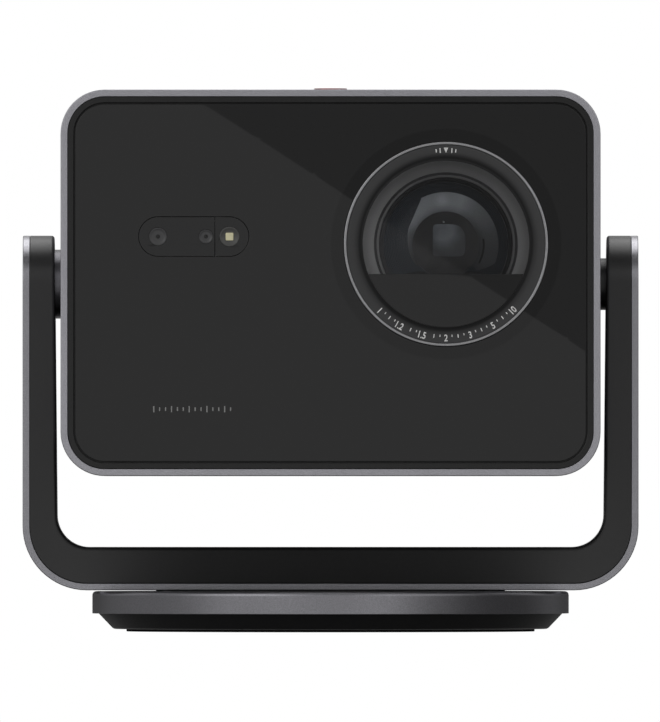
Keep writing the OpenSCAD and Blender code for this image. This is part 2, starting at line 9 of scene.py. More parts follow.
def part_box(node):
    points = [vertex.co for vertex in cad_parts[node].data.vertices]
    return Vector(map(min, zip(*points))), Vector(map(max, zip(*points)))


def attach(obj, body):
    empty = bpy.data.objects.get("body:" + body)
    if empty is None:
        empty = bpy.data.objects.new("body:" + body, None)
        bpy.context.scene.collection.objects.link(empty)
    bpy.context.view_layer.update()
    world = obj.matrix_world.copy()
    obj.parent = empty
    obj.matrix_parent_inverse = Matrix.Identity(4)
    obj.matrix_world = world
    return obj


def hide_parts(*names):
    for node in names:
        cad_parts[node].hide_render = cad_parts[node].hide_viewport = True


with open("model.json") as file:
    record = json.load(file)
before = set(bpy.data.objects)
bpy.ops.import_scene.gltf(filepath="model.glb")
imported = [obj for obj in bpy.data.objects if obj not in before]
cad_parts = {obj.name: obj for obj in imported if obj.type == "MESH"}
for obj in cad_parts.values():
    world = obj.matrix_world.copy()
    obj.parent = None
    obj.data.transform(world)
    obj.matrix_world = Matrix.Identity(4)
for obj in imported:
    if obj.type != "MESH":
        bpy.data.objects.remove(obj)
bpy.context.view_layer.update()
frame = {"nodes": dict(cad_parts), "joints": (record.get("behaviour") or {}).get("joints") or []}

# ---- Sizes, in millimetres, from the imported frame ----

MM = 0.001
joint_places = {joint["name"]: joint.get("pos_m") for joint in frame["joints"]}
TILT_Z = joint_places["tilt"][2] / MM


def box(node):
    """Lowest and highest corners of a CAD node, in millimetres."""
    low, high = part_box(node)
    return low / MM, high / MM


def middle(node):
    low, high = box(node)
    return (low + high) / 2


def size(node):
    low, high = box(node)
    return high - low


HEAD_W, _, HEAD_H = size("head_sleeve")
FRONT_Y, JOIN_Y = (corner.y for corner in box("head_sleeve"))
HEAD_TOP = box("head_sleeve")[1].z
BACK_Y = box("rear_cover")[1].y
HEAD_R = 17.8
RIM = 2.8
BACK_R = 24

GLASS_FRONT = box("front_glass")[0].y
GLASS_R = 12
BUTTON_Y = middle("power_button").y
LENS_X, _, LENS_Z = (place / MM for place in joint_places["focus_turn"])
WINDOW_R = size("lens_window").x / 2
NAME_R = size("lens_name_ring").x / 2
TRIM_R = NAME_R + 1.2

STAND_HALF, ARM_HALF, _ = box("yoke_frame")[1]
YOKE_Z = box("yoke_frame")[0].z
STRIP = 2.8
YOKE_R = 26
INNER_R = 13
CROSSBAR_TOP = 34.2
ARM_INNER_LOW = 110.8
ARM_INNER_TOP = 111.9

BASE_R, _, BASE_TOP = box("base_shell")[1]
pan_low, pan_high = box("base_pan")
FOOT_R, _, FOOT_TOP = box("foot_ring")[1]
PAN_TOP_R = pan_high.x
BAND_LOW = pan_high.z - 2
TURNTABLE_R = box("turntable")[1].x

# ---- Outlines ----


def rounded_rect(width, height, radius, steps=14):
    """Points round a rounded rectangle, counter-clockwise."""
    points = []
    for quarter, (side_x, side_z) in enumerate(((1, 1), (-1, 1), (-1, -1), (1, -1))):
        for i in range(steps + 1):
            angle = radians(90 * (quarter + i / steps))
            points.append((side_x * (width / 2 - radius) + radius * cos(angle),
                           side_z * (height / 2 - radius) + radius * sin(angle)))
    return points


def circle(radius, x=0.0, z=0.0, steps=96):
    angles = [tau * i / steps for i in range(steps)]
    return [(x + radius * cos(a), z + radius * sin(a)) for a in angles]


def moved(points, x, z):
    return [(px + x, pz + z) for px, pz in points]


NO_ROUND = 1e-4


def softened(points, radius, steps=4):
    """A closed outline with each corner turned into a curve. radius is one number, or one for each corner."""
    radii = radius if isinstance(radius, (list, tuple)) else [radius] * len(points)
    out = []
    for i, corner in enumerate(points):
        corner = Vector(corner)
        before = Vector(points[i - 1]) - corner
        after = Vector(points[(i + 1) % len(points)]) - corner
        reach = min(radii[i], 0.48 * before.length, 0.48 * after.length)
        if reach < NO_ROUND:
            out.append(tuple(corner))
            continue
        start = corner + before.normalized() * reach
        end = corner + after.normalized() * reach
        for k in range(steps + 1):
            t = k / steps
            out.append(tuple(start * (1 - t) ** 2 + corner * (2 * t * (1 - t)) + end * t ** 2))
    return out


# ---- Pieces ----

SMOOTH_UNDER = radians(38)
WELD_REACH = 1e-6


def dress(piece, body, material, nodes=()):
    """Gives a finished mesh its material and its body, and hides the CAD nodes it stands in for."""
    piece.data.materials.clear()
    piece.data.materials.append(material)
    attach(piece, body)
    if nodes:
        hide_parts(*nodes)
    return piece


def complete(piece, body, material, nodes=()):
    """Welds a mesh, turns its normals outward, sets its shading and dresses it."""
    weld(piece, WELD_REACH / 10)
    piece.data.shade_smooth()
    piece.data.set_sharp_from_angle(angle=SMOOTH_UNDER)
    weighted = piece.modifiers.new("even_shading", "WEIGHTED_NORMAL")
    weighted.keep_sharp = True
    weighted.weight = 80
    return dress(piece, body, material, nodes)


def weld(piece, thinnest=0.0):
    """Joins points that meet and turns the normals outward. thinnest also removes slivers below that size."""
    data = bmesh.new()
    data.from_mesh(piece.data)
    bmesh.ops.remove_doubles(data, verts=data.verts, dist=WELD_REACH)
    if thinnest:
        bmesh.ops.dissolve_degenerate(data, edges=data.edges, dist=thinnest)
    bmesh.ops.recalc_face_normals(data, faces=data.faces)
    data.to_mesh(piece.data)
    data.free()


def placed(name, data):
    """A new object of some data, in the scene."""
    thing = bpy.data.objects.new(name, data)
    bpy.context.scene.collection.objects.link(thing)
    return thing


def new_piece(name, verts, faces):
    """A mesh from points in millimetres."""
    mesh = bpy.data.meshes.new(name)
    mesh.from_pydata([[c * MM for c in point] for point in verts], [], faces)
    return placed(name, mesh)


def skin(name, rings, closed=False, capped=True, round_profile=True):
    """A skin over rings with the same number of points. closed joins the last ring to the first."""
    count = len(rings[0])
    verts = [point for ring in rings for point in ring]
    faces = []
    for r in range(len(rings) if closed else len(rings) - 1):
        here, there = r * count, ((r + 1) % len(rings)) * count
        for i in range(count if round_profile else count - 1):
            j = (i + 1) % count
            faces.append((here + i, here + j, there + j, there + i))
    if not closed and capped:
        faces.append(tuple(range(count)))
        faces.append(tuple(range((len(rings) - 1) * count, len(rings) * count)))
    return new_piece(name, verts, faces)


def frame_skin(name, width, height, radius, profile, z=TILT_Z):
    """A closed frame round a rounded rectangle. profile lists (inset, y) points in order."""
    rings = []
    for inset, y in profile:
        points = rounded_rect(width - 2 * inset, height - 2 * inset, max(radius - inset, 0.4))
        rings.append([(px, y, z + pz) for px, pz in points])
    return skin(name, rings, closed=True)


def turned(name, profile, along, centre, steps, closed):
    """A piece turned about an axis. profile lists (radius, place along the axis) points."""
    rings = []
    for i in range(steps):
        c, s = cos(tau * i / steps), sin(tau * i / steps)
        rings.append([along(centre[0] + r * c, centre[1] + r * s, place) for r, place in profile])
    return skin(name, rings, closed=True, round_profile=closed)


def turned_forward(name, profile, x=LENS_X, z=LENS_Z, steps=160, closed=True):
    """Turned about an axis along Y."""
    return turned(name, profile, lambda a, b, y: (a, y, b), (x, z), steps, closed)


def turned_upright(name, profile, x=0.0, y=0.0, steps=192, closed=True):
    """Turned about an axis along Z."""
    return turned(name, profile, lambda a, b, z: (a, b, z), (x, y), steps, closed)


def turned_sideways(name, profile, steps=128):
    """Turned about the tilt axis, along X."""
    return turned(name, profile, lambda a, b, x: (x, a, b), (0, TILT_Z), steps, True)


def plate(name, outlines, front, thickness, bevel=0.0, bevel_steps=2):
    """A flat plate facing forward. The first outline is its edge in X and Z, and the rest are its holes."""
    curve = bpy.data.curves.new(name, "CURVE")
    curve.dimensions = "2D"
    curve.fill_mode = "BOTH"
    curve.extrude = (thickness / 2 - bevel) * MM
    curve.bevel_depth = bevel * MM
    curve.bevel_resolution = bevel_steps
    curve.offset = -bevel * MM
    for points in outlines:
        spline = curve.splines.new("POLY")
        spline.points.add(len(points) - 1)
        for point, (x, z) in zip(spline.points, points):
            point.co = (x * MM, z * MM, 0, 1)
        spline.use_cyclic_u = True
    shape = placed(name + "_outline", curve)
    shape.rotation_euler = (radians(90), 0, 0)
    shape.location = (0, (front + thickness / 2) * MM, 0)
    return as_mesh(name, shape)


def as_mesh(name, shape):
    """The evaluated mesh of an object, as a new object with its place in its vertices."""
    bpy.context.view_layer.update()
    graph = bpy.context.evaluated_depsgraph_get()
    mesh = bpy.data.meshes.new_from_object(shape.evaluated_get(graph))
    mesh.transform(shape.matrix_world)
    mesh.name = name
    bpy.data.objects.remove(shape)
    return placed(name, mesh)


def cut(piece, cutters):
    """Cuts the cutters' shapes out of a piece, and deletes them."""
    for cutter in cutters:
        weld(cutter)
        boolean = piece.modifiers.new("cut", "BOOLEAN")
        boolean.operation = "DIFFERENCE"
        boolean.solver = "EXACT"
        boolean.object = cutter
    weld(piece)
    name = piece.name
    piece.name = name + "_uncut"
    out = as_mesh(name, piece)
    for cutter in cutters:
        bpy.data.objects.remove(cutter)
    return out


def joined(name, pieces):
    """Several meshes as one object."""
    data = bmesh.new()
    for piece in pieces:
        part = piece.data.copy()
        part.transform(piece.matrix_world)
        data.from_mesh(part)
        bpy.data.meshes.remove(part)
    mesh = bpy.data.meshes.new(name)
    data.to_mesh(mesh)
    data.free()
    for piece in pieces:
        bpy.data.objects.remove(piece)
    return placed(name, mesh)


# ---- Materials ----

ALONG_X = (1, 0, 0)
ACROSS_Y = (1, 0, 1)
ACROSS_Z = (1, 1, 0)


class Nodes:
    """A material, and short calls for its nodes."""

    def __init__(self, name):
        self.material = bpy.data.materials.new(name)
        self.material.use_nodes = True
        self.tree = self.material.node_tree

    def node(self, kind, **values):
        node = self.tree.nodes.new(kind)
        for key, value in values.items():
            setattr(node, key, value)
        return node

    def link(self, source, target):
        self.tree.links.new(source, target)


class Shader(Nodes):
    """A material with a Principled shader."""

    def __init__(self, name, colour, roughness, metallic=0.0, **sockets):
        super().__init__(name)
        self.shader = self.tree.nodes["Principled BSDF"]
        self.shader.inputs["Base Color"].default_value = (*colour, 1)
        self.shader.inputs["Roughness"].default_value = roughness
        self.shader.inputs["Metallic"].default_value = metallic
        for key, value in sockets.items():
            self.shader.inputs[key.replace("_", " ")].default_value = value
        self.colour = colour
        self.roughness = roughness

    def place(self, offset=(0, 0, 0), scale=(1, 1, 1)):
        """Object coordinates, scaled and then moved."""
        coordinates = self.node("ShaderNodeTexCoord")
        mapping = self.node("ShaderNodeMapping")
        mapping.inputs["Location"].default_value = offset
        mapping.inputs["Scale"].default_value = scale
        self.link(coordinates.outputs["Object"], mapping.inputs["Vector"])
        return mapping.outputs["Vector"]

    def noise(self, scale, detail=2.0, stretch=(1, 1, 1)):
        """Noise with this many grains to the metre."""
        noise = self.node("ShaderNodeTexNoise")
        noise.inputs["Scale"].default_value = scale
        noise.inputs["Detail"].default_value = detail
        self.link(self.place(scale=stretch), noise.inputs["Vector"])
        return noise.outputs["Fac"]

    def lathe(self, centre, keep, scale):
        """Fine rings about an axis, this many to the millimetre."""
        rings = self.node("ShaderNodeTexNoise", noise_dimensions="1D")
        rings.inputs["Scale"].default_value = scale
        self.link(self.distance(centre, keep), rings.inputs["W"])
        return rings.outputs["Fac"]

    def distance(self, centre, keep):
        """Distance in millimetres from an axis through centre. keep is 1 on the axes across it."""
        offset = [-c * k for c, k in zip(centre, keep)]
        length = self.node("ShaderNodeVectorMath", operation="LENGTH")
        self.link(self.place(offset, [k / MM for k in keep]), length.inputs[0])
        return length.outputs["Value"]

    def towards(self, way):
        """How far a point lies towards one side of the lens's axis: 1 on that side and -1 on the other."""
        outward = self.node("ShaderNodeVectorMath", operation="NORMALIZE")
        self.link(self.place((-LENS_X, 0, -LENS_Z), (1 / MM, 0, 1 / MM)), outward.inputs[0])
        dot = self.node("ShaderNodeVectorMath", operation="DOT_PRODUCT")
        dot.inputs[1].default_value = (cos(radians(way)), 0, sin(radians(way)))
        self.link(outward.outputs["Vector"], dot.inputs[0])
        return dot.outputs["Value"]

    def curve(self, value, stops):
        """A smooth brightness curve. stops lists (value, brightness)."""
        low, high = stops[0][0], stops[-1][0]
        ramp = self.node("ShaderNodeValToRGB")
        ramp.color_ramp.interpolation = "EASE" if len(stops) == 2 else "B_SPLINE"
        while len(ramp.color_ramp.elements) < len(stops):
            ramp.color_ramp.elements.new(0.5)
        for element, (at, bright) in zip(ramp.color_ramp.elements, stops):
            element.position = (at - low) / (high - low)
            element.color = (bright, bright, bright, 1)
        self.link(self.spread(value, 0, 1, low, high), ramp.inputs["Fac"])
        return ramp.outputs["Color"]

    def by_distance(self, centre, keep, stops):
        return self.curve(self.distance(centre, keep), stops)

    def by_side(self, way, stops):
        return self.curve(self.towards(way), stops)

    def paint(self, *shades):
        """The base colour, multiplied by each of the shades."""
        colour = None
        for shade in shades:
            mix = self.node("ShaderNodeVectorMath", operation="MULTIPLY")
            if colour:
                self.link(colour, mix.inputs[0])
            else:
                mix.inputs[0].default_value = self.colour
            self.link(shade, mix.inputs[1])
            colour = mix.outputs["Vector"]
        self.link(colour, self.shader.inputs["Base Color"])

    def spread(self, value, low, high, from_low=0.3, from_high=0.7):
        """Maps a texture's middle range on to low and high."""
        remap = self.node("ShaderNodeMapRange")
        remap.inputs["From Min"].default_value = from_low
        remap.inputs["From Max"].default_value = from_high
        remap.inputs["To Min"].default_value = low
        remap.inputs["To Max"].default_value = high
        self.link(value, remap.inputs["Value"])
        return remap.outputs["Result"]

    def tint(self, value, dark, light):
        """Colour between two shades of the base colour."""
        ramp = self.node("ShaderNodeValToRGB")
        ramp.color_ramp.elements[0].position = 0.3
        ramp.color_ramp.elements[1].position = 0.7
        ramp.color_ramp.elements[0].color = (*[c * dark for c in self.colour], 1)
        ramp.color_ramp.elements[1].color = (*[min(c * light, 1) for c in self.colour], 1)
        self.link(value, ramp.inputs["Fac"])
        self.link(ramp.outputs["Color"], self.shader.inputs["Base Color"])

    def rough(self, value, swing):
        self.link(self.spread(value, self.roughness - swing, self.roughness + swing),
                  self.shader.inputs["Roughness"])

    def bump(self, value, strength, distance):
        bump = self.node("ShaderNodeBump")
        bump.inputs["Strength"].default_value = strength
        bump.inputs["Distance"].default_value = distance * MM
        self.link(value, bump.inputs["Height"])
        self.link(bump.outputs["Normal"], self.shader.inputs["Normal"])


def blasted_metal(name, colour, roughness, painted_shade_across=None):
    """Bead-blasted, anodised metal: a fine sparkle of bumps and shades.

    Its last argument lists painted shade by the distance from X = 0.
    """
    shader = Shader(name, colour, roughness, 1.0)
    grain = shader.noise(2600, 3)
    if painted_shade_across:
        shader.paint(shader.curve(grain, [(0.3, 0.86), (0.7, 1.16)]),
                     shader.by_distance((0, 0, 0), ALONG_X, painted_shade_across))
    else:
        shader.tint(grain, 0.84, 1.18)
    shader.rough(shader.noise(900, 2), 0.05)
    shader.bump(grain, 0.35, 0.05)
    return shader.material


def turned_metal(name, colour, roughness, centre, keep, **sockets):
    """Metal with fine lathe rings about an axis."""
    shader = Shader(name, colour, roughness, 1.0, **sockets)
    groove = shader.lathe(centre, keep, 5.2)
    shader.rough(groove, 0.06)
    shader.tint(shader.noise(700, 2), 0.94, 1.05)
    shader.bump(groove, 0.12, 0.02)
    return shader.material


def moulded(name, colour, roughness, grain=1500, depth=0.02, swing=0.04, **sockets):
    """Moulded plastic with a fine spark-eroded texture."""
    shader = Shader(name, colour, roughness, **sockets)
    texture = shader.noise(grain, 3)
    shader.tint(shader.noise(grain * 0.35, 2), 0.9, 1.1)
    shader.rough(texture, swing)
    shader.bump(texture, 0.25, depth)
    return shader.material


def polished(name, colour, roughness, **sockets):
    """Polished glass or gloss: almost even, with a trace of unevenness in its gloss."""
    shader = Shader(name, colour, roughness, **sockets)
    shader.rough(shader.noise(60, 2), roughness * 0.3)
    shader.tint(shader.noise(14, 2), 0.97, 1.03)
    return shader.material


def clear(name, coat, mirror):
    """Thin coated glass: see-through, with a faint even mirror on each face."""
    shader = Shader(name, (mirror, mirror, mirror * 1.02), 0.02, 1.0, Alpha=coat)
    shader.rough(shader.noise(60, 2), 0.008)
    return shader.material


def brushed(name, colour, roughness, stretch=(1, 1, 40)):
    """Plain machined metal with short straight marks."""
    shader = Shader(name, colour, roughness, 1.0)
    marks = shader.noise(90, 3, stretch=stretch)
    shader.rough(marks, 0.07)
    shader.tint(shader.noise(300, 2), 0.92, 1.06)
    shader.bump(marks, 0.1, 0.02)
    return shader.material


lens_centre = (LENS_X, 0, LENS_Z)
head_centre = (0, 0, TILT_Z)

anodised = blasted_metal("anodised_grey", (0.43, 0.426, 0.457), 0.40)
base_metal = blasted_metal("anodised_base", (0.27, 0.267, 0.286), 0.34)

# Painted shade: the stand is painted darker low in its middle, where the head shades it
strip_metal = blasted_metal("anodised_stand", (0.33, 0.327, 0.350), 0.33, [
    (30, 0.76), (77, 0.82), (87, 0.92), (96, 1.08), (120, 0.97)])
arm_shader = Shader("arm_black", (0.010, 0.010, 0.0102), 0.36)
arm_grain = arm_shader.noise(1900, 3)
arm_shader.tint(arm_shader.noise(660, 2), 0.9, 1.1)
arm_shader.rough(arm_grain, 0.04)
arm_shader.bump(arm_grain, 0.25, 0.012)
# Painted shade: the lining's gloss is turned down towards X = 0, darkest in the middle of the crossbar under
# the head
arm_shader.link(arm_shader.by_distance((0, 0, 0), ALONG_X, [
    (10, 0.20), (50, 0.23), (70, 0.30), (88, 0.50), (104, 0.66), (124, 0.56)]),
    arm_shader.shader.inputs["Specular IOR Level"])
arm_black = arm_shader.material
turntable_black = moulded("turntable_black", (0.005, 0.005, 0.0052), 0.5, 1300, 0.03, Specular_IOR_Level=0.15)
shell_black = moulded("shell_black", (0.030, 0.030, 0.0308), 0.42, 1500, 0.03)
pan_black = moulded("pan_black", (0.010, 0.010, 0.0105), 0.5, 1300, 0.03, Specular_IOR_Level=0.3)
bezel_black = moulded("bezel_black", (0.011, 0.011, 0.011), 0.3, 2200, 0.008, Specular_IOR_Level=0.41)
grille_black = moulded("grille_black", (0.020, 0.020, 0.0205), 0.42, 1400, 0.02)
mask_black = polished("mask_black", (0.0076, 0.0076, 0.0077), 0.014)
trim_bright = turned_metal("trim_bright", (0.40, 0.40, 0.41), 0.34, lens_centre, ACROSS_Y)

# Painted shade and painted reflection: the front glass is painted darker in a halo round the lens ring, for
# the ring's shadow and its dark side mirrored in the glass
PAINTED_HALO_R = 46.5
glass_shader = Shader("glass_black", (0.0095, 0.0095, 0.0096), 0.014)
glass_shader.paint(glass_shader.by_distance(lens_centre, ACROSS_Y, [
    (PAINTED_HALO_R - 0.4, 0.35), (PAINTED_HALO_R + 0.2, 1.0)]))
glass_shader.rough(glass_shader.noise(60, 2), 0.004)
glass_black = glass_shader.material

# Painted shade: the dark ring is painted darker near its inner edge, deepest at the shallow groove there, for
# the shade at the step into the lens
name_shader = Shader("name_black", (0.080, 0.080, 0.081), 0.45, 1.0)
name_shader.paint(name_shader.by_distance(lens_centre, ACROSS_Y, [
    (WINDOW_R, 0.5), (WINDOW_R + 1.1, 0.22), (WINDOW_R + 1.9, 0.5), (WINDOW_R + 3.6, 1.0),
    (NAME_R, 1.0)]))
name_shader.bump(name_shader.noise(2400, 2), 0.12, 0.02)
name_black = name_shader.material
boss_bright = turned_metal("boss_bright", (0.15, 0.148, 0.160), 0.24, head_centre, (0, 1, 1))
barrel_black = turned_metal("barrel_black", (0.03, 0.03, 0.032), 0.4, lens_centre, ACROSS_Y)


def lens_part(name, colour, side, stops, roughness=0.55, across=None):
    """A blackened or coated part inside the lens, with painted light: lighter towards one side, and across
    adds painted shade by the distance from the axis.
    """
    shader = Shader(name, colour, roughness, Specular_IOR_Level=0.1)
    shades = [shader.by_side(side, stops)]
    if across:
        shades.append(shader.by_distance(lens_centre, ACROSS_Y, across))
    shader.paint(*shades)
    rings = shader.lathe(lens_centre, ACROSS_Y, 2.6)
    shader.rough(rings, 0.08)
    shader.bump(rings, 0.1, 0.02)
    return shader.material


# Painted light and shade: each part is painted lighter on the side where the light falls; the baffle is also
# painted darker towards its outer edge
baffle_grey = lens_part("baffle_grey", (0.50, 0.50, 0.505), 160, [(-1, 0.52), (0, 0.78), (1, 1.0)],
                        across=[(29.5, 1.14), (33.2, 0.74)])
lip_grey = lens_part("lip_grey", (0.26, 0.26, 0.263), 185, [(-1, 0.6), (0.3, 0.8), (1, 1.0)])
cell_black = lens_part("cell_black", (0.04, 0.041, 0.045), 185, [(-1, 0.05), (0.5, 0.12), (1, 1.0)])
funnel_teal = lens_part("funnel_teal", (0.031, 0.047, 0.067), 170, [(-1, 0.3), (0, 0.6), (1, 1.0)], 0.4)
slot_and_shadow_black = lens_part("slot_and_shadow_black", (0.003, 0.003, 0.003), 90, [(-1, 0.9), (1, 1.0)])

# Painted reflection: a ring deep in the lens is painted bright at the top and fading clockwise, with a
# painted highlight spot near the top, in place of a light mirrored in coated glass. At its brightest the
# paint reflects more light than a real surface could.
painted_reflection_shader = Shader("painted_reflection", (0.80, 0.85, 0.91), 0.35, Specular_IOR_Level=0.25)
painted_reflection_shader.paint(
    painted_reflection_shader.by_side(108, [
        (-0.6, 0.08), (-0.1, 0.13), (0.2, 0.28), (0.5, 0.42), (0.75, 0.75), (1.0, 1.9)]),
    painted_reflection_shader.by_distance(lens_centre, ACROSS_Y, [
        (13.2, 0.4), (14.4, 0.62), (16.5, 1.0), (20, 1.02), (21.4, 0.95)]),
    painted_reflection_shader.by_distance((LENS_X - 1.5, 0, LENS_Z + 18), ACROSS_Y, [(0.2, 1.35), (4.2, 1.0)]))
painted_reflection_shader.rough(painted_reflection_shader.noise(200, 2), 0.05)
painted_reflection = painted_reflection_shader.material

# Painted highlight: the pupil window is painted brightest near its upper left and darker outward, for a sheen
# on the glass; the noise gives it an uneven tone
pupil_shader = Shader("pupil_glass", (0.25, 0.273, 0.302), 0.25, Specular_IOR_Level=0.3)
pupil_shader.paint(
    pupil_shader.curve(pupil_shader.noise(110, 2), [(0.25, 0.72), (0.75, 1.2)]),
    pupil_shader.by_distance((LENS_X - 1, 0, LENS_Z + 6), ACROSS_Y, [
        (0.5, 1.9), (4, 0.9), (8, 0.42), (13, 0.25)]))
pupil_glass = pupil_shader.material
# Painted light: the inner coat is painted lighter towards the upper left, where the light falls
inner_shader = Shader("inner_coat", (0.034, 0.034, 0.035), 0.3, Specular_IOR_Level=0.15)
inner_shader.paint(inner_shader.by_side(120, [(-1, 0.75), (0, 0.85), (1, 1.25)]))
inner_shader.rough(inner_shader.noise(80, 2), 0.05)
inner_coat = inner_shader.material
rubber = moulded("rubber", (0.004, 0.004, 0.004), 0.75, 700, 0.05, Specular_IOR_Level=0.1)
button_red = turned_metal("button_red", (0.26, 0.010, 0.012), 0.36, (0, BUTTON_Y, 0), ACROSS_Z,
                          Specular_Tint=(0.55, 0.05, 0.06, 1))
steel = brushed("steel", (0.55, 0.55, 0.56), 0.35)
dark_steel = brushed("dark_steel", (0.16, 0.16, 0.165), 0.42)
raw_aluminium = brushed("raw_aluminium", (0.62, 0.62, 0.64), 0.42, (40, 1, 1))
cast_iron = moulded("cast_iron", (0.055, 0.055, 0.057), 0.62, 500, 0.15, metallic=0.8)
brass = brushed("brass", (0.66, 0.47, 0.2), 0.32)
copper = brushed("copper", (0.75, 0.36, 0.2), 0.3, (1, 40, 40))
bearing = moulded("bearing", (0.68, 0.65, 0.56), 0.45, 900)
circuit = moulded("circuit", (0.012, 0.07, 0.035), 0.4, 400, 0.06)
speaker_black = moulded("speaker_black", (0.02, 0.02, 0.021), 0.6, 500, 0.06)
port_black = moulded("port_black", (0.026, 0.026, 0.027), 0.4, 1800)
ink = moulded("ink", (0.85, 0.85, 0.84), 0.5, 1500, 0.004)
ink_dim = moulded("ink_dim", (0.30, 0.30, 0.295), 0.5, 1500, 0.004)
sensor_glass = polished("sensor_glass", (0.0105, 0.0105, 0.0108), 0.06)
sensor_disc = polished("sensor_disc", (0.062, 0.062, 0.064), 0.3)
sensor_hole = polished("sensor_hole", (0.003, 0.003, 0.003), 0.3)
led_yellow = moulded("led_yellow", (0.85, 0.8, 0.52), 0.5, 900, 0.01)
led_well = polished("led_well", (0.075, 0.075, 0.072), 0.35)

# ---- Head ----

sleeve_profile = softened(
    [(0, JOIN_Y), (0, FRONT_Y), (RIM, FRONT_Y), (RIM, JOIN_Y)], [0.35, 0.45, 0.2, 0.2])
head_sleeve = frame_skin("sleeve", HEAD_W, HEAD_H, HEAD_R, sleeve_profile)

side_low, side_high = box("side_grilles")
side_middle_y = (side_low.y + side_high.y) / 2
SIDE_WINDOW_W = side_high.y - side_low.y + 0.2
SIDE_WINDOW_H = side_high.z - side_low.z + 0.2
BUTTON_R = 6.6


def side_block(name, low_x, high_x, width, height, radius):
    """A block with round corners seen from the side."""
    points = moved(rounded_rect(width, height, radius, 8), side_middle_y, TILT_Z)
    return skin(name, [[(x, y, z) for y, z in points] for x in (low_x, high_x)])


cutters = [
    side_block("window_cutter", -HEAD_W, HEAD_W, SIDE_WINDOW_W, SIDE_WINDOW_H, 2),
    turned_upright("button_cutter", [(0, HEAD_TOP - 10), (BUTTON_R + 0.35, HEAD_TOP - 10),
                                     (BUTTON_R + 0.35, HEAD_TOP + 5), (0, HEAD_TOP + 5)],
                   y=BUTTON_Y, steps=96, closed=False),
]
complete(cut(head_sleeve, cutters), "head", anodised, ["head_sleeve"])

# Black bezel between the sleeve's rim and the front glass
BEZEL_W = 2.5
BEZEL_FRONT = FRONT_Y + 0.4
BEZEL_BACK = box("front_bezel")[1].y
bezel_profile = softened(
    [(RIM + 0.1, BEZEL_BACK), (RIM + 0.1, BEZEL_FRONT), (RIM + 0.1 + BEZEL_W, BEZEL_FRONT),
     (RIM + 0.1 + BEZEL_W, GLASS_FRONT + 2), (RIM + 6, GLASS_FRONT + 2), (RIM + 6, BEZEL_BACK)],
    [0, 0.3, 0.5, 0, 0, 0])
bezel = frame_skin("bezel", HEAD_W, HEAD_H, HEAD_R, bezel_profile)
complete(bezel, "head", bezel_black, ["front_bezel"])

# Front glass, with the openings for the lens and the sensors
GLASS_T = 2
glass_w, _, glass_h = size("front_glass")
glass_outline = moved(rounded_rect(glass_w, glass_h, GLASS_R, 20), 0, TILT_Z)
sensor_middle = middle("sensor_window")
sensor_w, _, sensor_h = size("sensor_window")
pill = rounded_rect(sensor_w + 0.24, sensor_h + 0.24, sensor_h / 2 + 0.119, 20)
glass = plate("glass", [glass_outline, circle(TRIM_R + 0.1, LENS_X, LENS_Z, 160),
                        moved(pill, sensor_middle.x, sensor_middle.z)], GLASS_FRONT, GLASS_T, 0.22, 3)
complete(glass, "head", glass_black, ["front_glass"])

# ---- Back of the head ----

COVER_WALL = 2.5
BACK_STEPS = 16
SNUG = 0.1


def back_solid(name, inset, start):
    """The back of the head, with its edge rounded over, set in by an inset all round."""
    stations = [(0.3, start), (0.08, start + 0.1), (0, start + 0.35)]
    for i in range(BACK_STEPS + 1):
        angle = radians(90 * i / BACK_STEPS)
        stations.append((BACK_R * (1 - cos(angle)), BACK_Y - BACK_R + BACK_R * sin(angle) - inset))
    rings = []
    for depth, y in stations:
        total = depth + inset
        points = rounded_rect(HEAD_W - 2 * total, HEAD_H - 2 * total, HEAD_R - inset - 0.45 * depth, 16)
        rings.append([(x, y, TILT_Z + z) for x, z in points])
    return skin(name, rings)


def back_opening(node, radius):
    """A round-cornered opening in the back for a CAD node that fills it."""
    low, high = box(node)
    outline = moved(rounded_rect(high.x - low.x + 2 * SNUG, high.z - low.z + 2 * SNUG, radius, 10),
                    (low.x + high.x) / 2, (low.z + high.z) / 2)
    return skin(node + "_opening", [[(x, y, z) for x, z in outline] for y in (BACK_Y - 15, BACK_Y + 5)])


rear = cut(back_solid("rear_shell", 0, JOIN_Y), [
    back_solid("rear_hollow", COVER_WALL, JOIN_Y - 3), back_opening("rear_grille", 6),
    back_opening("port_panel", 4)])
complete(rear, "head", shell_black, ["rear_cover"])

# ---- Sensors ----

RANGE_X = middle("range_module").x
LIGHT_X = middle("fill_light").x
CAMERA_EYE_X = box("camera_module")[0].x + 7
SENSOR_Z = sensor_middle.z
SENSOR_FRONT = GLASS_FRONT + 0.1
DIVIDER_X = -46.6
sensor_spots = {"camera": (CAMERA_EYE_X, 3.65), "range": (RANGE_X, 2.9), "light": (LIGHT_X, 4.05)}

# The window is two inlays either side of a hair-line gap
half_h = sensor_h / 2
left_end = sensor_middle.x - sensor_w / 2
right_end = sensor_middle.x + sensor_w / 2


def pill_end(centre_x, start, steps=24):
    return [(centre_x + half_h * cos(radians(start + 180 * i / steps)),
             SENSOR_Z + half_h * sin(radians(start + 180 * i / steps))) for i in range(steps + 1)]


def inlay(name, outline, *spots):
    """One half of the window, with a hole for each spot, given as (place, radius)."""
    holes = [circle(radius, x, SENSOR_Z, 72) for x, radius in spots]
    return plate(name, [outline] + holes, SENSOR_FRONT, 1.2, 0.1)


gap = 0.1
low, high = SENSOR_Z - half_h, SENSOR_Z + half_h
left_outline = pill_end(left_end + half_h, 90) + [(DIVIDER_X - gap, low), (DIVIDER_X - gap, high)]
right_outline = pill_end(right_end - half_h, -90) + [(DIVIDER_X + gap, high), (DIVIDER_X + gap, low)]
complete(joined("sensor_inlays", [
    inlay("inlay_left", left_outline, sensor_spots["camera"], sensor_spots["range"]),
    inlay("inlay_right", right_outline, sensor_spots["light"])]),
    "head", sensor_glass, ["sensor_window"])


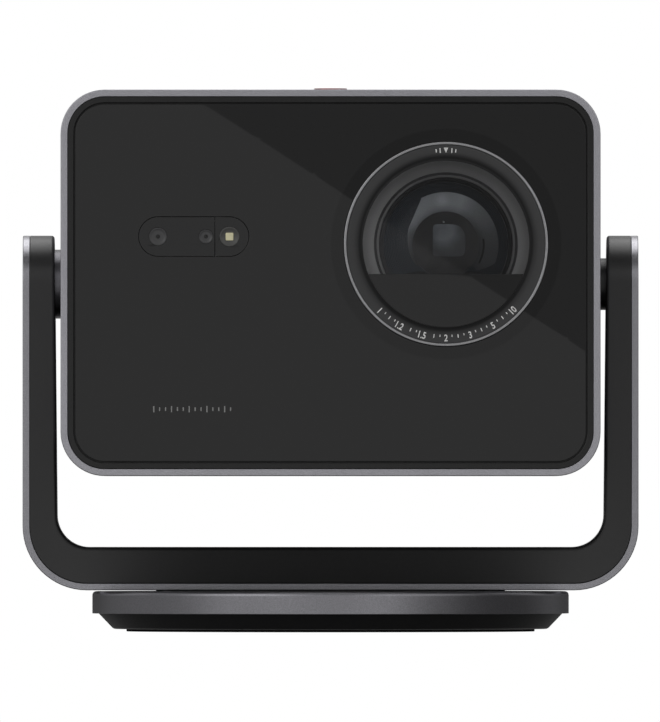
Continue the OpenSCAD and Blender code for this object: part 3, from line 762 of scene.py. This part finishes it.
def sensor_lens(name, x, radius, hole, material, hole_material):
    """A small round lens: a rim, a shallow dish and a dark pupil."""
    y = SENSOR_FRONT
    dish = turned_forward(name + "_dish", [
        (radius - 0.06, y + 1.1), (radius - 0.06, y + 0.12), (radius - 0.16, y + 0.04),
        (radius * 0.86, y + 0.04), (radius * 0.82, y + 0.16), (radius * 0.6, y + 0.26),
        (hole * 1.15, y + 0.3), (hole, y + 0.42), (hole, y + 1.1)], x, SENSOR_Z, 72)
    complete(dish, "head", material)
    pupil = turned_forward(name + "_pupil", [
        (0, y + 0.5), (hole * 0.5, y + 0.53), (hole * 0.98, y + 0.62), (hole * 0.98, y + 1),
        (0, y + 1)], x, SENSOR_Z, 48, closed=False)
    complete(pupil, "head", hole_material)


sensor_lens("camera", *sensor_spots["camera"], 0.78, sensor_disc, sensor_hole)
sensor_lens("range", *sensor_spots["range"], 0.7, sensor_disc, sensor_hole)
light_r = sensor_spots["light"][1]
y = SENSOR_FRONT
well = turned_forward("light_well", [
    (light_r - 0.06, y + 1.1), (light_r - 0.06, y + 0.1), (light_r - 0.16, y + 0.04),
    (light_r * 0.86, y + 0.05), (light_r * 0.8, y + 0.2), (light_r * 0.5, y + 0.55),
    (0, y + 0.6), (0, y + 1.1)], LIGHT_X, SENSOR_Z, 72, closed=False)
complete(well, "head", led_well)
chip = plate("light_chip", [moved(rounded_rect(3.1, 3.1, 0.35, 5), LIGHT_X, SENSOR_Z)],
             SENSOR_FRONT + 0.1, 0.6, 0.08)
complete(chip, "head", led_yellow)

# ---- Lens: fixed rings, window and mask ----

TRIM_FRONT = FRONT_Y + 0.1
trim = turned_forward("trim_ring", softened([
    (NAME_R + 0.05, GLASS_FRONT + 3), (NAME_R + 0.05, TRIM_FRONT), (TRIM_R, TRIM_FRONT),
    (TRIM_R, GLASS_FRONT + 3)], [0, 0.35, 0.35, 0]), steps=224)
complete(trim, "head", trim_bright, ["lens_trim_ring"])

name_ring = turned_forward("name_ring", softened([
    (WINDOW_R + 0.05, GLASS_FRONT + 2.5), (WINDOW_R + 0.05, GLASS_FRONT + 0.12),
    (WINDOW_R + 1.1, GLASS_FRONT + 0.4), (WINDOW_R + 2.7, GLASS_FRONT + 0.03),
    (NAME_R, GLASS_FRONT + 0.03), (NAME_R, GLASS_FRONT + 2.5)],
    [0, 0.1, 0.6, 0.9, 0.15, 0]), steps=224)
complete(name_ring, "head", name_black, ["lens_name_ring"])

window_glass = clear("window_glass", 0.16, 0.115)
MASK_DROP = 12.1


def pane(name, radius, upper):
    """The part of the round window above or below the mask's straight edge."""
    half = acos(MASK_DROP / radius)
    turn = [half * (2 * i / 64 - 1) for i in range(65)]
    if upper:
        turn = [pi + (pi - half) * (2 * i / 128 - 1) for i in range(129)]
    edge = [(LENS_X + radius * sin(a), LENS_Z - radius * cos(a)) for a in turn]
    return plate(name, [edge], GLASS_FRONT + 0.05, 1.05, 0.04)


complete(pane("window", WINDOW_R - 0.02, True), "head", window_glass, ["lens_window"])
complete(pane("mask", WINDOW_R - 0.02, False), "head", mask_black, ["lens_mask"])

# Stepped cone behind the window
CONE_FRONT = GLASS_FRONT + 3.2
CONE_BACK = box("lens_baffle")[1].y
BAFFLE_R = 29
steps = 14
cone_points = []
for i in range(steps):
    t = i / steps
    radius = WINDOW_R - 0.2 + (BAFFLE_R - WINDOW_R + 0.2) * t
    y = CONE_FRONT + (CONE_BACK - CONE_FRONT) * t
    cone_points += [(radius, y), (radius - 0.06, y + 0.25 * (CONE_BACK - CONE_FRONT) / steps)]
cone_profile = cone_points + [(BAFFLE_R, CONE_BACK), (BAFFLE_R + 1.4, CONE_BACK),
                              (WINDOW_R + 1.2, CONE_FRONT + 1.5), (WINDOW_R + 4.5, CONE_FRONT + 1.5),
                              (WINDOW_R + 4.5, CONE_FRONT)]
complete(turned_forward("baffle_cone", cone_profile), "head", baffle_grey, ["lens_baffle"])

BARREL_FRONT = box("lens_barrel")[0].y
BARREL_BORE = 27.05
LIP_R = 27.95
barrel = turned_forward("barrel_front", softened([
    (BARREL_BORE, BARREL_FRONT + 1), (BARREL_BORE, BARREL_FRONT - 0.2), (LIP_R, BARREL_FRONT - 0.2),
    (LIP_R, BARREL_FRONT + 1)], [0, 0.25, 0.2, 0]))
complete(barrel, "head", lip_grey)

# ---- Lens: moving group ----

CELL_R = 25.2
INNER_R_LENS = 13.4
cell_front = box("lens_carriage")[0].y
FUNNEL_FRONT = cell_front + 10.4
FUNNEL_BACK = FUNNEL_FRONT + 10
front_ring = turned_forward("front_cell", softened([
    (26.95, cell_front + 12), (26.95, cell_front), (26.2, cell_front),
    (25.7, cell_front + 0.5), (CELL_R, cell_front + 0.8), (CELL_R, cell_front + 10)],
    [0, 0.2, 0.2, 0.1, 0.1, 0]))
complete(front_ring, "lens_group", cell_black, ["lens_carriage"])


def funnel_y(radius):
    """Depth of the funnel's face at a radius."""
    return FUNNEL_FRONT + (CELL_R - radius) / (CELL_R - INNER_R_LENS) * (FUNNEL_BACK - FUNNEL_FRONT)


# Funnel with fine steps, down to the inner cell
FUNNEL_STEPS = 18
funnel_profile = []
for i in range(FUNNEL_STEPS):
    radius = CELL_R - 0.05 - (CELL_R - INNER_R_LENS) * i / FUNNEL_STEPS
    step = (CELL_R - INNER_R_LENS) / FUNNEL_STEPS
    funnel_profile += [(radius, funnel_y(radius)), (radius - 0.7 * step, funnel_y(radius) + 0.05)]
funnel_profile += [(INNER_R_LENS, FUNNEL_BACK), (INNER_R_LENS, FUNNEL_BACK + 3),
                   (CELL_R - 0.05, FUNNEL_BACK + 3)]
complete(turned_forward("funnel", funnel_profile), "lens_group", funnel_teal)


def sector(name, edges, lift, material, rings=8):
    """A thin curved piece that lies on the funnel. edges lists (angle, inner radius, outer radius)."""
    front, back = [], []
    for angle, inner, outer in edges:
        way = radians(angle)
        for k in range(rings + 1):
            radius = inner + (outer - inner) * k / rings
            x, z = LENS_X + radius * cos(way), LENS_Z + radius * sin(way)
            front.append((x, funnel_y(radius) - lift, z))
            back.append((x, funnel_y(radius) + 0.3, z))
    wide = rings + 1
    faces = []
    count = len(front)
    for i in range(len(edges) - 1):
        for k in range(rings):
            a = i * wide + k
            faces.append((a, a + 1, a + wide + 1, a + wide))
            faces.append((count + a, count + a + wide, count + a + wide + 1, count + a + 1))
        for k in (0, rings):
            a = i * wide + k
            faces.append((a, a + wide, count + a + wide, count + a))
    for i in (0, len(edges) - 1):
        for k in range(rings):
            a = i * wide + k
            faces.append((a, a + 1, count + a + 1, count + a))
    complete(new_piece(name, front + back, faces), "lens_group", material)


def between(stops, angle):
    """Value on a broken line through (angle, value) stops."""
    for (a0, v0), (a1, v1) in zip(stops, stops[1:]):
        if a0 <= angle <= a1:
            return v0 + (v1 - v0) * (angle - a0) / (a1 - a0)


def straight_cut(angle):
    """Radius of the crescent's straight left edge, a line between two corners, seen at an angle."""
    (x0, z0), (x1, z1) = (-9.8, 18.6), (-14.9, 7.0)
    way = radians(angle)
    c, s = cos(way), sin(way)
    return (x0 * (z1 - z0) - z0 * (x1 - x0)) / (c * (z1 - z0) - s * (x1 - x0))


# The crescent is a thin sheet laid on the funnel to carry the painted reflection
crescent = []
for angle in range(-39, 219, 1):
    if angle < -21:
        outer = between([(-39, 16.3), (-21, 21.3)], angle)
    elif angle <= 118:
        outer = 21.2
    elif angle <= 155:
        outer = straight_cut(angle)
    else:
        outer = between([(155, 16.5), (165, 15.9), (180, 15.2), (200, 14.9), (219, 14.4)], angle)
    crescent.append((angle, 13.45, outer))
sector("crescent", crescent, 0.35, painted_reflection)
sector("slot_right", [(angle, 14.95, 15.75) for angle in range(-29, 11, 2)], 0.42, slot_and_shadow_black, 2)
# Painted shadow: two thin black sheets on the funnel, just above the mask's edge, stand for the shade there
for name, way, sign in (("shade_left", 232, 1), ("shade_right", 308, -1)):
    blade = []
    for i in range(13):
        angle = way + sign * (i - 6) * 2.6
        low = 12.6 / max(0.2, -sin(radians(angle)))
        top = 10.7 + 1.3 * ((i - 5) / 7) ** 2
        blade.append((angle, min(low, max(13.5, top / -sin(radians(angle)))), low))
    sector(name, blade, 0.5, slot_and_shadow_black, 2)

meniscus = clear("meniscus_glass", 0.05, 0.10)


def dome(name, radius, y_edge, rise, thickness, material, nodes=(), steps=28):
    """A domed glass shell, its crown towards the front."""
    sphere = (radius ** 2 + rise ** 2) / (2 * rise)
    outer = [(radius * i / steps, y_edge - (sqrt(sphere ** 2 - (radius * i / steps) ** 2) - (sphere - rise)))
             for i in range(steps + 1)]
    profile = outer + [(r, y + thickness) for r, y in outer[::-1]]
    piece = turned_forward(name, profile, steps=144, closed=False)
    complete(piece, "lens_group", material, nodes)


dome("front_dome", CELL_R - 0.05, box("front_element")[1].y - 0.4, 5.2, 0.9, meniscus, ["front_element"])
INNER_DISC_Y = FUNNEL_BACK - 0.3
dome("inner_dome", INNER_R_LENS - 0.05, INNER_DISC_Y, 0.5, 1, inner_coat)
pupil_corners = [(-5.2, -4.8), (8.0, -4.8), (8.0, 8.3), (-5.2, 8.3)]
pupil_edge = softened([(LENS_X + x, LENS_Z + z) for x, z in pupil_corners],
                      [1.7, 3.0, 7.2, 1.9], 10)
pupil_plate = plate("pupil_window", [pupil_edge], INNER_DISC_Y - 0.95, 0.5, 0.12)
complete(pupil_plate, "lens_group", pupil_glass)
# Painted highlight: a small pin in the painted reflection's material stands for a glint on the inner glass
glint = turned_forward("inner_pin", softened([
    (0, INNER_DISC_Y - 1.0), (0.42, INNER_DISC_Y - 1.0), (0.42, INNER_DISC_Y), (0, INNER_DISC_Y)],
    [0, 0.15, 0, 0]), LENS_X - 0.8, LENS_Z + 9.2, 24, closed=False)
complete(glint, "lens_group", painted_reflection)

# ---- Marks ----

MARK_DEPTH = 0.02
MARK_R = 37.75
MARK_H = 2.75
RING_FACE = GLASS_FRONT + 0.03 - MARK_DEPTH / 2


def glyph(name, text, height):
    """A numeral as a flat outline, centred, standing on the X-Z plane and facing forward."""
    curve = bpy.data.curves.new(name, "FONT")
    curve.body = text
    curve.size = height / 0.72 * MM
    curve.align_x = "CENTER"
    curve.extrude = MARK_DEPTH / 2 * MM
    curve.offset = 0.028 * height * MM
    curve.resolution_u = 6
    shape = placed(name, curve)
    shape.rotation_euler = (radians(90), 0, 0)
    shape.scale = (0.78, 1, 1)
    return as_mesh(name, shape)


def on_ring(piece, angle, upper=False, lift=0.0):
    """Stands a mark on the lens's dark ring: foot outward on the lower arc, inward on the upper one."""
    around = radians(angle)
    turn = radians(angle - 90 if upper else angle + 90)
    there = Vector((LENS_X + MARK_R * cos(around), RING_FACE, LENS_Z + MARK_R * sin(around)))
    piece.data.transform(Matrix.Translation(there * MM) @ Matrix.Rotation(-turn, 4, "Y")
                         @ Matrix.Translation(Vector((0, 0, lift - MARK_H / 2)) * MM))
    return piece


def bar_mark(name, width, height):
    """A short upright bar with round corners."""
    outline = moved(rounded_rect(width, height, min(width, height) * 0.3, 3), 0, MARK_H / 2)
    return plate(name, [outline], -MARK_DEPTH / 2, MARK_DEPTH)


numerals = ["1", "1.2", "1.5", "2", "3", "5", "10"]
NUMERAL_STEP = 15
TICK_STEP = NUMERAL_STEP / 4
scale_marks = []
for i, text in enumerate(numerals):
    angle = (i - 3) * NUMERAL_STEP - 90
    scale_marks.append(on_ring(glyph("numeral", text, MARK_H), angle))
    if i == len(numerals) - 1:
        break
    for k in (1, 2, 3):
        clear_of_text = TICK_STEP * k > 2.4 + 0.7 * (len(text) - 1)
        if clear_of_text:
            tall = 1.5 if k == 2 else 0.9
            tick = bar_mark("tick", 0.36, tall)
            scale_marks.append(on_ring(tick, angle + TICK_STEP * k, lift=(MARK_H - tall) / 2 - 0.2))
arrow = softened([(-0.9, MARK_H * 0.9), (0.9, MARK_H * 0.9), (0, MARK_H * 0.1)], 0.12, 3)
scale_marks.append(on_ring(plate("index", [arrow], -MARK_DEPTH / 2, MARK_DEPTH), 90, True))
for side in (-1, 1):
    for k in (1, 2):
        wing = bar_mark("wing", 0.42, 2.6 - 0.6 * k)
        scale_marks.append(on_ring(wing, 90 - side * (1.2 + 2.4 * k), True))
dress(joined("focus_scale", scale_marks), "head", ink)

# A row of small bars low on the front glass, in place of wording
PANEL_MARK_LEFT = -71.2
PANEL_MARK_Z = TILT_Z - 50.9
BARS = 14
BAR_PITCH = 2.38
panel_bars = []
for i in range(BARS):
    tall = 2.5 if i % 3 == 0 else 1.5
    x = PANEL_MARK_LEFT + i * BAR_PITCH
    outline = moved(rounded_rect(0.5, tall, 0.16, 4), x, PANEL_MARK_Z)
    panel_bars.append(plate("panel_bar", [outline], GLASS_FRONT - MARK_DEPTH * 0.6, MARK_DEPTH))
dress(joined("panel_mark", panel_bars), "head", ink_dim)

# ---- Power button ----

button_low, button_high = box("power_button")
BUTTON_TOP = button_high.z
button = turned_upright("button", softened([
    (0, BUTTON_TOP - 0.35), (4.6, BUTTON_TOP - 0.25), (5.6, BUTTON_TOP), (BUTTON_R, BUTTON_TOP),
    (BUTTON_R, button_low.z + 2.1), (0, button_low.z + 2.1)],
    [0, 0.6, 0.2, 0.12, 0, 0]), y=BUTTON_Y, steps=96, closed=False)
complete(button, "power_button", button_red, ["power_button"])

# ---- Yoke ----


def u_path(half, low, radius, top_in=None):
    """The line of a U: gives the point at a stage and a share of it, with an optional lean of the arms."""
    lean = (top_in or half) - half

    def point(stage, share, z_top=None):
        if stage == "flat":
            return (share * (half - radius), low)
        if stage == "bend":
            angle = radians(90 * share)
            return (half - radius + radius * sin(angle), low + radius - radius * cos(angle))
        bend_top = low + radius
        z = bend_top + share * (TILT_Z - bend_top) if z_top is None else z_top
        return (half + lean * (z - bend_top) / (TILT_Z + ARM_HALF - bend_top), z)
    return point


def yoke_piece(name, outer, inner, profile, half_depth):
    """A U-shaped bar with half-round arm tops.

    profile lists (inset from the side, share from outer to inner).
    """
    stations = [("flat", i / 6) for i in range(6)] + [("bend", i / 16) for i in range(16)]
    stations += [("arm", i / 8) for i in range(8)]
    tops = [90 * i / 20 for i in range(21)]
    rings = []

    def ring(stage, share, top=None):
        points = []
        for side in (1, -1):
            run = profile if side == 1 else profile[::-1]
            for inset, mix in run:
                depth = half_depth - inset
                if top is None:
                    a, b = outer(stage, share), inner(stage, share)
                    y = depth
                else:
                    z = TILT_Z + depth * sin(radians(top))
                    a, b = outer("arm", 0, z), inner("arm", 0, z)
                    y = depth * cos(radians(top))
                points.append((a[0] + (b[0] - a[0]) * mix, side * y, a[1] + (b[1] - a[1]) * mix))
        return points

    right = [ring(stage, share) for stage, share in stations] + [ring(None, 0, top) for top in tops]
    left = [[(-x, y, z) for x, y, z in r] for r in right[:0:-1]]
    return skin(name, left + right, capped=False)


CAVITY_Z = YOKE_Z + 2.7
outer_line = u_path(STAND_HALF, YOKE_Z, YOKE_R)
strip_inner = u_path(STAND_HALF - STRIP, CAVITY_Z, YOKE_R - STRIP)
cover_outer = u_path(STAND_HALF - STRIP - 0.1, CAVITY_Z + 0.1, YOKE_R - STRIP - 0.1)
cover_inner = u_path(ARM_INNER_LOW, CROSSBAR_TOP, INNER_R, ARM_INNER_TOP)
COVER_T = 10.3


def edge_profile(thickness, outer_round, inner_round, steps=5):
    """The side of a bar from its outer face to its inner one, with round edges, as (inset, share)."""
    points = [(outer_round * (1 - sin(radians(90 * i / steps))),
               outer_round * (1 - cos(radians(90 * i / steps))) / thickness) for i in range(steps + 1)]
    points += [(inner_round * (1 - cos(radians(90 * i / steps))),
                1 - inner_round * (1 - sin(radians(90 * i / steps))) / thickness) for i in range(steps + 1)]
    return points


strip = yoke_piece("yoke_strip", outer_line, strip_inner, edge_profile(STRIP, 0.4, 0.15), ARM_HALF)
complete(strip, "yoke", strip_metal, ["yoke_frame"])
cover = yoke_piece("yoke_lining", cover_outer, cover_inner, edge_profile(COVER_T, 0.25, 1.3, 7), ARM_HALF)
complete(cover, "yoke", arm_black, ["yoke_cover"])


BOSS_LENGTH = 6
BOSS_BORE = 8.1


def boss(name, node, side, radius, material):
    """A bearing boss between an arm and the head, with round edges."""
    low, high = box(node)
    face = high.x if side < 0 else low.x
    root = face + side * BOSS_LENGTH
    profile = softened([(BOSS_BORE, face), (radius, face), (radius, root), (BOSS_BORE, root)],
                       [0.2, 0.35, 0, 0])
    complete(turned_sideways(name, profile), "yoke", material, [node])


boss("boss_left", "left_boss", -1, 14, boss_bright)
boss("boss_right", "right_boss", 1, 10.5, arm_black)

TURNTABLE_BORE = 13
low, high = box("turntable")
turntable = turned_upright("turntable_disc", softened([
    (TURNTABLE_BORE, low.z), (TURNTABLE_R, low.z), (TURNTABLE_R, high.z), (TURNTABLE_BORE, high.z)],
    [0, 0.2, 0.3, 0]))
complete(turntable, "yoke", turntable_black, ["turntable"])

# ---- Base ----

RECESS_R = TURNTABLE_R + 0.5
RECESS_Z = 14.8
SHAFT_HOLE = 15
SHELL_WALL = 2.5
shell = turned_upright("base_disc", softened([
    (BASE_R - SHELL_WALL, BAND_LOW), (BASE_R, BAND_LOW), (BASE_R, BASE_TOP), (RECESS_R, BASE_TOP),
    (RECESS_R, RECESS_Z), (SHAFT_HOLE, RECESS_Z), (SHAFT_HOLE, RECESS_Z - 2),
    (BASE_R - SHELL_WALL, RECESS_Z - 2)],
    [0.15, 0.2, 1.8, 0.35, 0.1, 0, 0, 0], 10), steps=256)
complete(shell, "base", base_metal, ["base_shell"])

PAN_R = 88
PAN_FLOOR = pan_low.z + 2.4
FOOT_W = 16.75
INSERT_R = 5.55
groove = 0.05
pan = turned_upright("base_cone", softened([
    (INSERT_R, pan_low.z), (FOOT_R - FOOT_W - groove, pan_low.z),
    (FOOT_R - FOOT_W - groove, FOOT_TOP + groove), (FOOT_R + groove, FOOT_TOP + groove),
    (FOOT_R + groove, pan_low.z), (PAN_R, pan_low.z), (PAN_TOP_R, BAND_LOW - groove),
    (PAN_TOP_R - 0.3, BAND_LOW - groove), (PAN_R - 0.8, PAN_FLOOR), (INSERT_R, PAN_FLOOR)],
    [0.2, 0.3, 0, 0, 0.2, 0.9, 0.15, 0, 0, 0]), steps=256)
SCREW_RING = 50
countersinks = []
for quarter in range(4):
    angle = radians(45 + 90 * quarter)
    countersinks.append(turned_upright("countersink", [
        (0, 0), (3.3, 0), (3.1, pan_low.z), (1.65, pan_low.z + 1.6), (1.65, 5), (0, 5)],
        SCREW_RING * cos(angle), SCREW_RING * sin(angle), 48, closed=False))
complete(cut(pan, countersinks), "base", pan_black, ["base_pan"])

foot = turned_upright("foot_pad", softened([
    (FOOT_R - FOOT_W, 0), (FOOT_R, 0), (FOOT_R, FOOT_TOP), (FOOT_R - FOOT_W, FOOT_TOP)],
    [0.4, 0.3, 0, 0]), steps=224)
complete(foot, "base", rubber, ["foot_ring"])

# ---- CAD nodes that keep their shape ----

for material, names in (
        (cast_iron, "base_weight"),
        (brass, "tripod_insert focus_pinion"),
        (bearing, "pan_bushing thrust_ring tilt_bushings"),
        (dark_steel, "base_screws yoke_spine tilt_nuts"),
        (steel, "turntable_screws pan_shaft pan_nut trunnions focus_motor data_ports"),
        (barrel_black, "camera_module range_module fill_light lens_barrel lens_carriage"),
        (inner_coat, "rear_element"),
        (raw_aluminium, "focus_ring chassis light_engine laser_module dmd_heatsink fin_stack"),
        (copper, "heat_pipes"),
        (circuit, "dmd_board main_board"),
        (grille_black, "fan_frames left_rotor right_rotor side_grilles rear_grille"),
        (speaker_black, "speaker_boxes speaker_drivers power_switch"),
        (port_black, "port_panel round_ports")):
    for name in names.split():
        node = frame["nodes"][name]
        node.data.materials.clear()
        node.data.materials.append(material)

# Fine round edges on the CAD pieces that show at the back and the sides
for name, width in (("rear_grille", 0.3), ("port_panel", 0.3), ("side_grilles", 0.3), ("data_ports", 0.08)):
    edges = frame["nodes"][name].modifiers.new("round_edges", "BEVEL")
    edges.width = width * MM
    edges.segments = 2
    edges.limit_method = "ANGLE"
    edges.angle_limit = radians(40)

# ---- Studio ----

scene = bpy.context.scene
scene.view_settings.view_transform = "Standard"
scene.view_settings.look = "None"


def glow(name, strength):
    """Plain white light from a surface."""
    nodes = Nodes(name)
    nodes.tree.nodes.remove(nodes.tree.nodes["Principled BSDF"])
    light = nodes.node("ShaderNodeEmission")
    light.inputs["Strength"].default_value = strength
    nodes.link(light.outputs["Emission"], nodes.tree.nodes["Material Output"].inputs["Surface"])
    return nodes


world = bpy.data.worlds.new("studio")
scene.world = world
world.use_nodes = True
world.node_tree.nodes["Background"].inputs["Color"].default_value = (1, 1, 1, 1)
world.node_tree.nodes["Background"].inputs["Strength"].default_value = 1.0


def lighting_only(thing):
    thing.visible_camera = False
    thing.visible_shadow = False


# The floor is seen by the camera alone, so that it neither lights the projector nor mirrors in it
FLOOR_REACH = 40000
FLOOR_Z = -0.2
floor_corners = [(x * FLOOR_REACH, y * FLOOR_REACH, FLOOR_Z) for x, y in ((-1, -1), (1, -1), (1, 1), (-1, 1))]
floor = new_piece("floor", floor_corners, [(0, 1, 2, 3)])
floor.data.materials.append(glow("floor_pale", 1.0).material)
floor.visible_diffuse = False
floor.visible_glossy = False
floor.visible_transmission = False
floor.visible_shadow = False

# A soft tent of light round the projector.
# Each lobe: direction, brightness, and the angles where it is full and gone
LOBES = [
    ((0, 0, 1), 0.08, 40, 100),
    ((0.05, -1, 0.12), 0.72, 16, 44),
    ((-0.75, -0.75, 0.45), 1.15, 8, 32),
    ((0.75, -0.75, 0.50), 0.5, 10, 34),
    ((-1, -0.1, 0.02), 0.22, 15, 50),
    ((0, 0.33, 1.0), 2.3, 6, 34),
    ((0, 1, 0.8), 0.6, 10, 34),
    ((0, 1, -0.5), 0.45, 8, 26),
    ((-1, 0.9, 0.6), 0.5, 8, 30),
    ((1, 0.9, 0.6), 0.5, 8, 30),
]
FLOOR_GLOW = 0.07

tent_glow = glow("tent", 1.0)
tent_glow.material.cycles.emission_sampling = "NONE"
coordinates = tent_glow.node("ShaderNodeTexCoord")
direction = tent_glow.node("ShaderNodeVectorMath", operation="NORMALIZE")
tent_glow.link(coordinates.outputs["Object"], direction.inputs[0])
total = None
for way, brightness, full, gone in LOBES:
    dot = tent_glow.node("ShaderNodeVectorMath", operation="DOT_PRODUCT")
    dot.inputs[1].default_value = Vector(way).normalized()
    tent_glow.link(direction.outputs["Vector"], dot.inputs[0])
    lobe = tent_glow.node("ShaderNodeMapRange", interpolation_type="SMOOTHSTEP")
    lobe.inputs["From Min"].default_value = cos(radians(gone))
    lobe.inputs["From Max"].default_value = cos(radians(full))
    lobe.inputs["To Max"].default_value = brightness
    tent_glow.link(dot.outputs["Value"], lobe.inputs["Value"])
    add = tent_glow.node("ShaderNodeMath", operation="ADD")
    tent_glow.link(lobe.outputs["Result"], add.inputs[0])
    if total:
        tent_glow.link(total, add.inputs[1])
    else:
        add.inputs[1].default_value = FLOOR_GLOW
    total = add.outputs[0]
tent_glow.link(total, tent_glow.tree.nodes["Emission"].inputs["Strength"])

TENT_R = 4
bpy.ops.mesh.primitive_uv_sphere_add(segments=64, ring_count=32, radius=TENT_R, location=(0, 0, 0.11))
tent = bpy.context.object
tent.name = "tent"
tent.data.materials.append(tent_glow.material)
lighting_only(tent)

# ---- Camera ----

CAMERA_X = -0.22 * MM
CAMERA_Z = 0.06
CAMERA_DISTANCE = 12.2
TARGET_Z = 0.10964
camera_data = bpy.data.cameras.new("camera")
camera_data.lens = 1500
camera_data.sensor_width = 36
camera_data.clip_start = 0.5
camera_data.clip_end = 60
camera = placed("camera", camera_data)
camera.location = (CAMERA_X, -CAMERA_DISTANCE, CAMERA_Z)
target = Vector((CAMERA_X, 0, TARGET_Z))
camera.rotation_euler = (target - camera.location).to_track_quat("-Z", "Y").to_euler()
scene.camera = camera

# ---- Cards ----

# Two cards in front of the projector, seen only in polished faces: the edge between them is the line across
# the glass. Each is larger than the patch that mirrors it, because mirrored lines of sight go on spreading.
CARD_Y = FRONT_Y - 500
CARD_GROWTH = 0.041
CARD_REACH = 160
CARD_LOW, CARD_HIGH = -50, 360
LINE = [(-51.8, 72.6), (103.7, -28.0)]
slope = (LINE[1][1] - LINE[0][1]) / (LINE[1][0] - LINE[0][0])


def on_line(x):
    """Height on the card of the slanted edge that the camera sees in the glass."""
    z = TILT_Z + LINE[0][1] + slope * (x - LINE[0][0])
    return z + (z - CAMERA_Z / MM) * CARD_GROWTH


def card(name, edge_z, brightness):
    """A card from the slanted line to a level edge."""
    corners = [(-CARD_REACH, on_line(-CARD_REACH)), (CARD_REACH, on_line(CARD_REACH)), (CARD_REACH, edge_z),
               (-CARD_REACH, edge_z)]
    piece = new_piece(name, [(x * (1 + CARD_GROWTH), CARD_Y, z) for x, z in corners], [(0, 1, 2, 3)])
    light = glow(name + "_glow", brightness).material
    light.cycles.emission_sampling = "NONE"
    piece.data.materials.append(light)
    piece.visible_diffuse = False
    piece.visible_transmission = False
    lighting_only(piece)


card("light_card", CARD_LOW, 0.575)
card("dark_card", CARD_HIGH, 0.325)
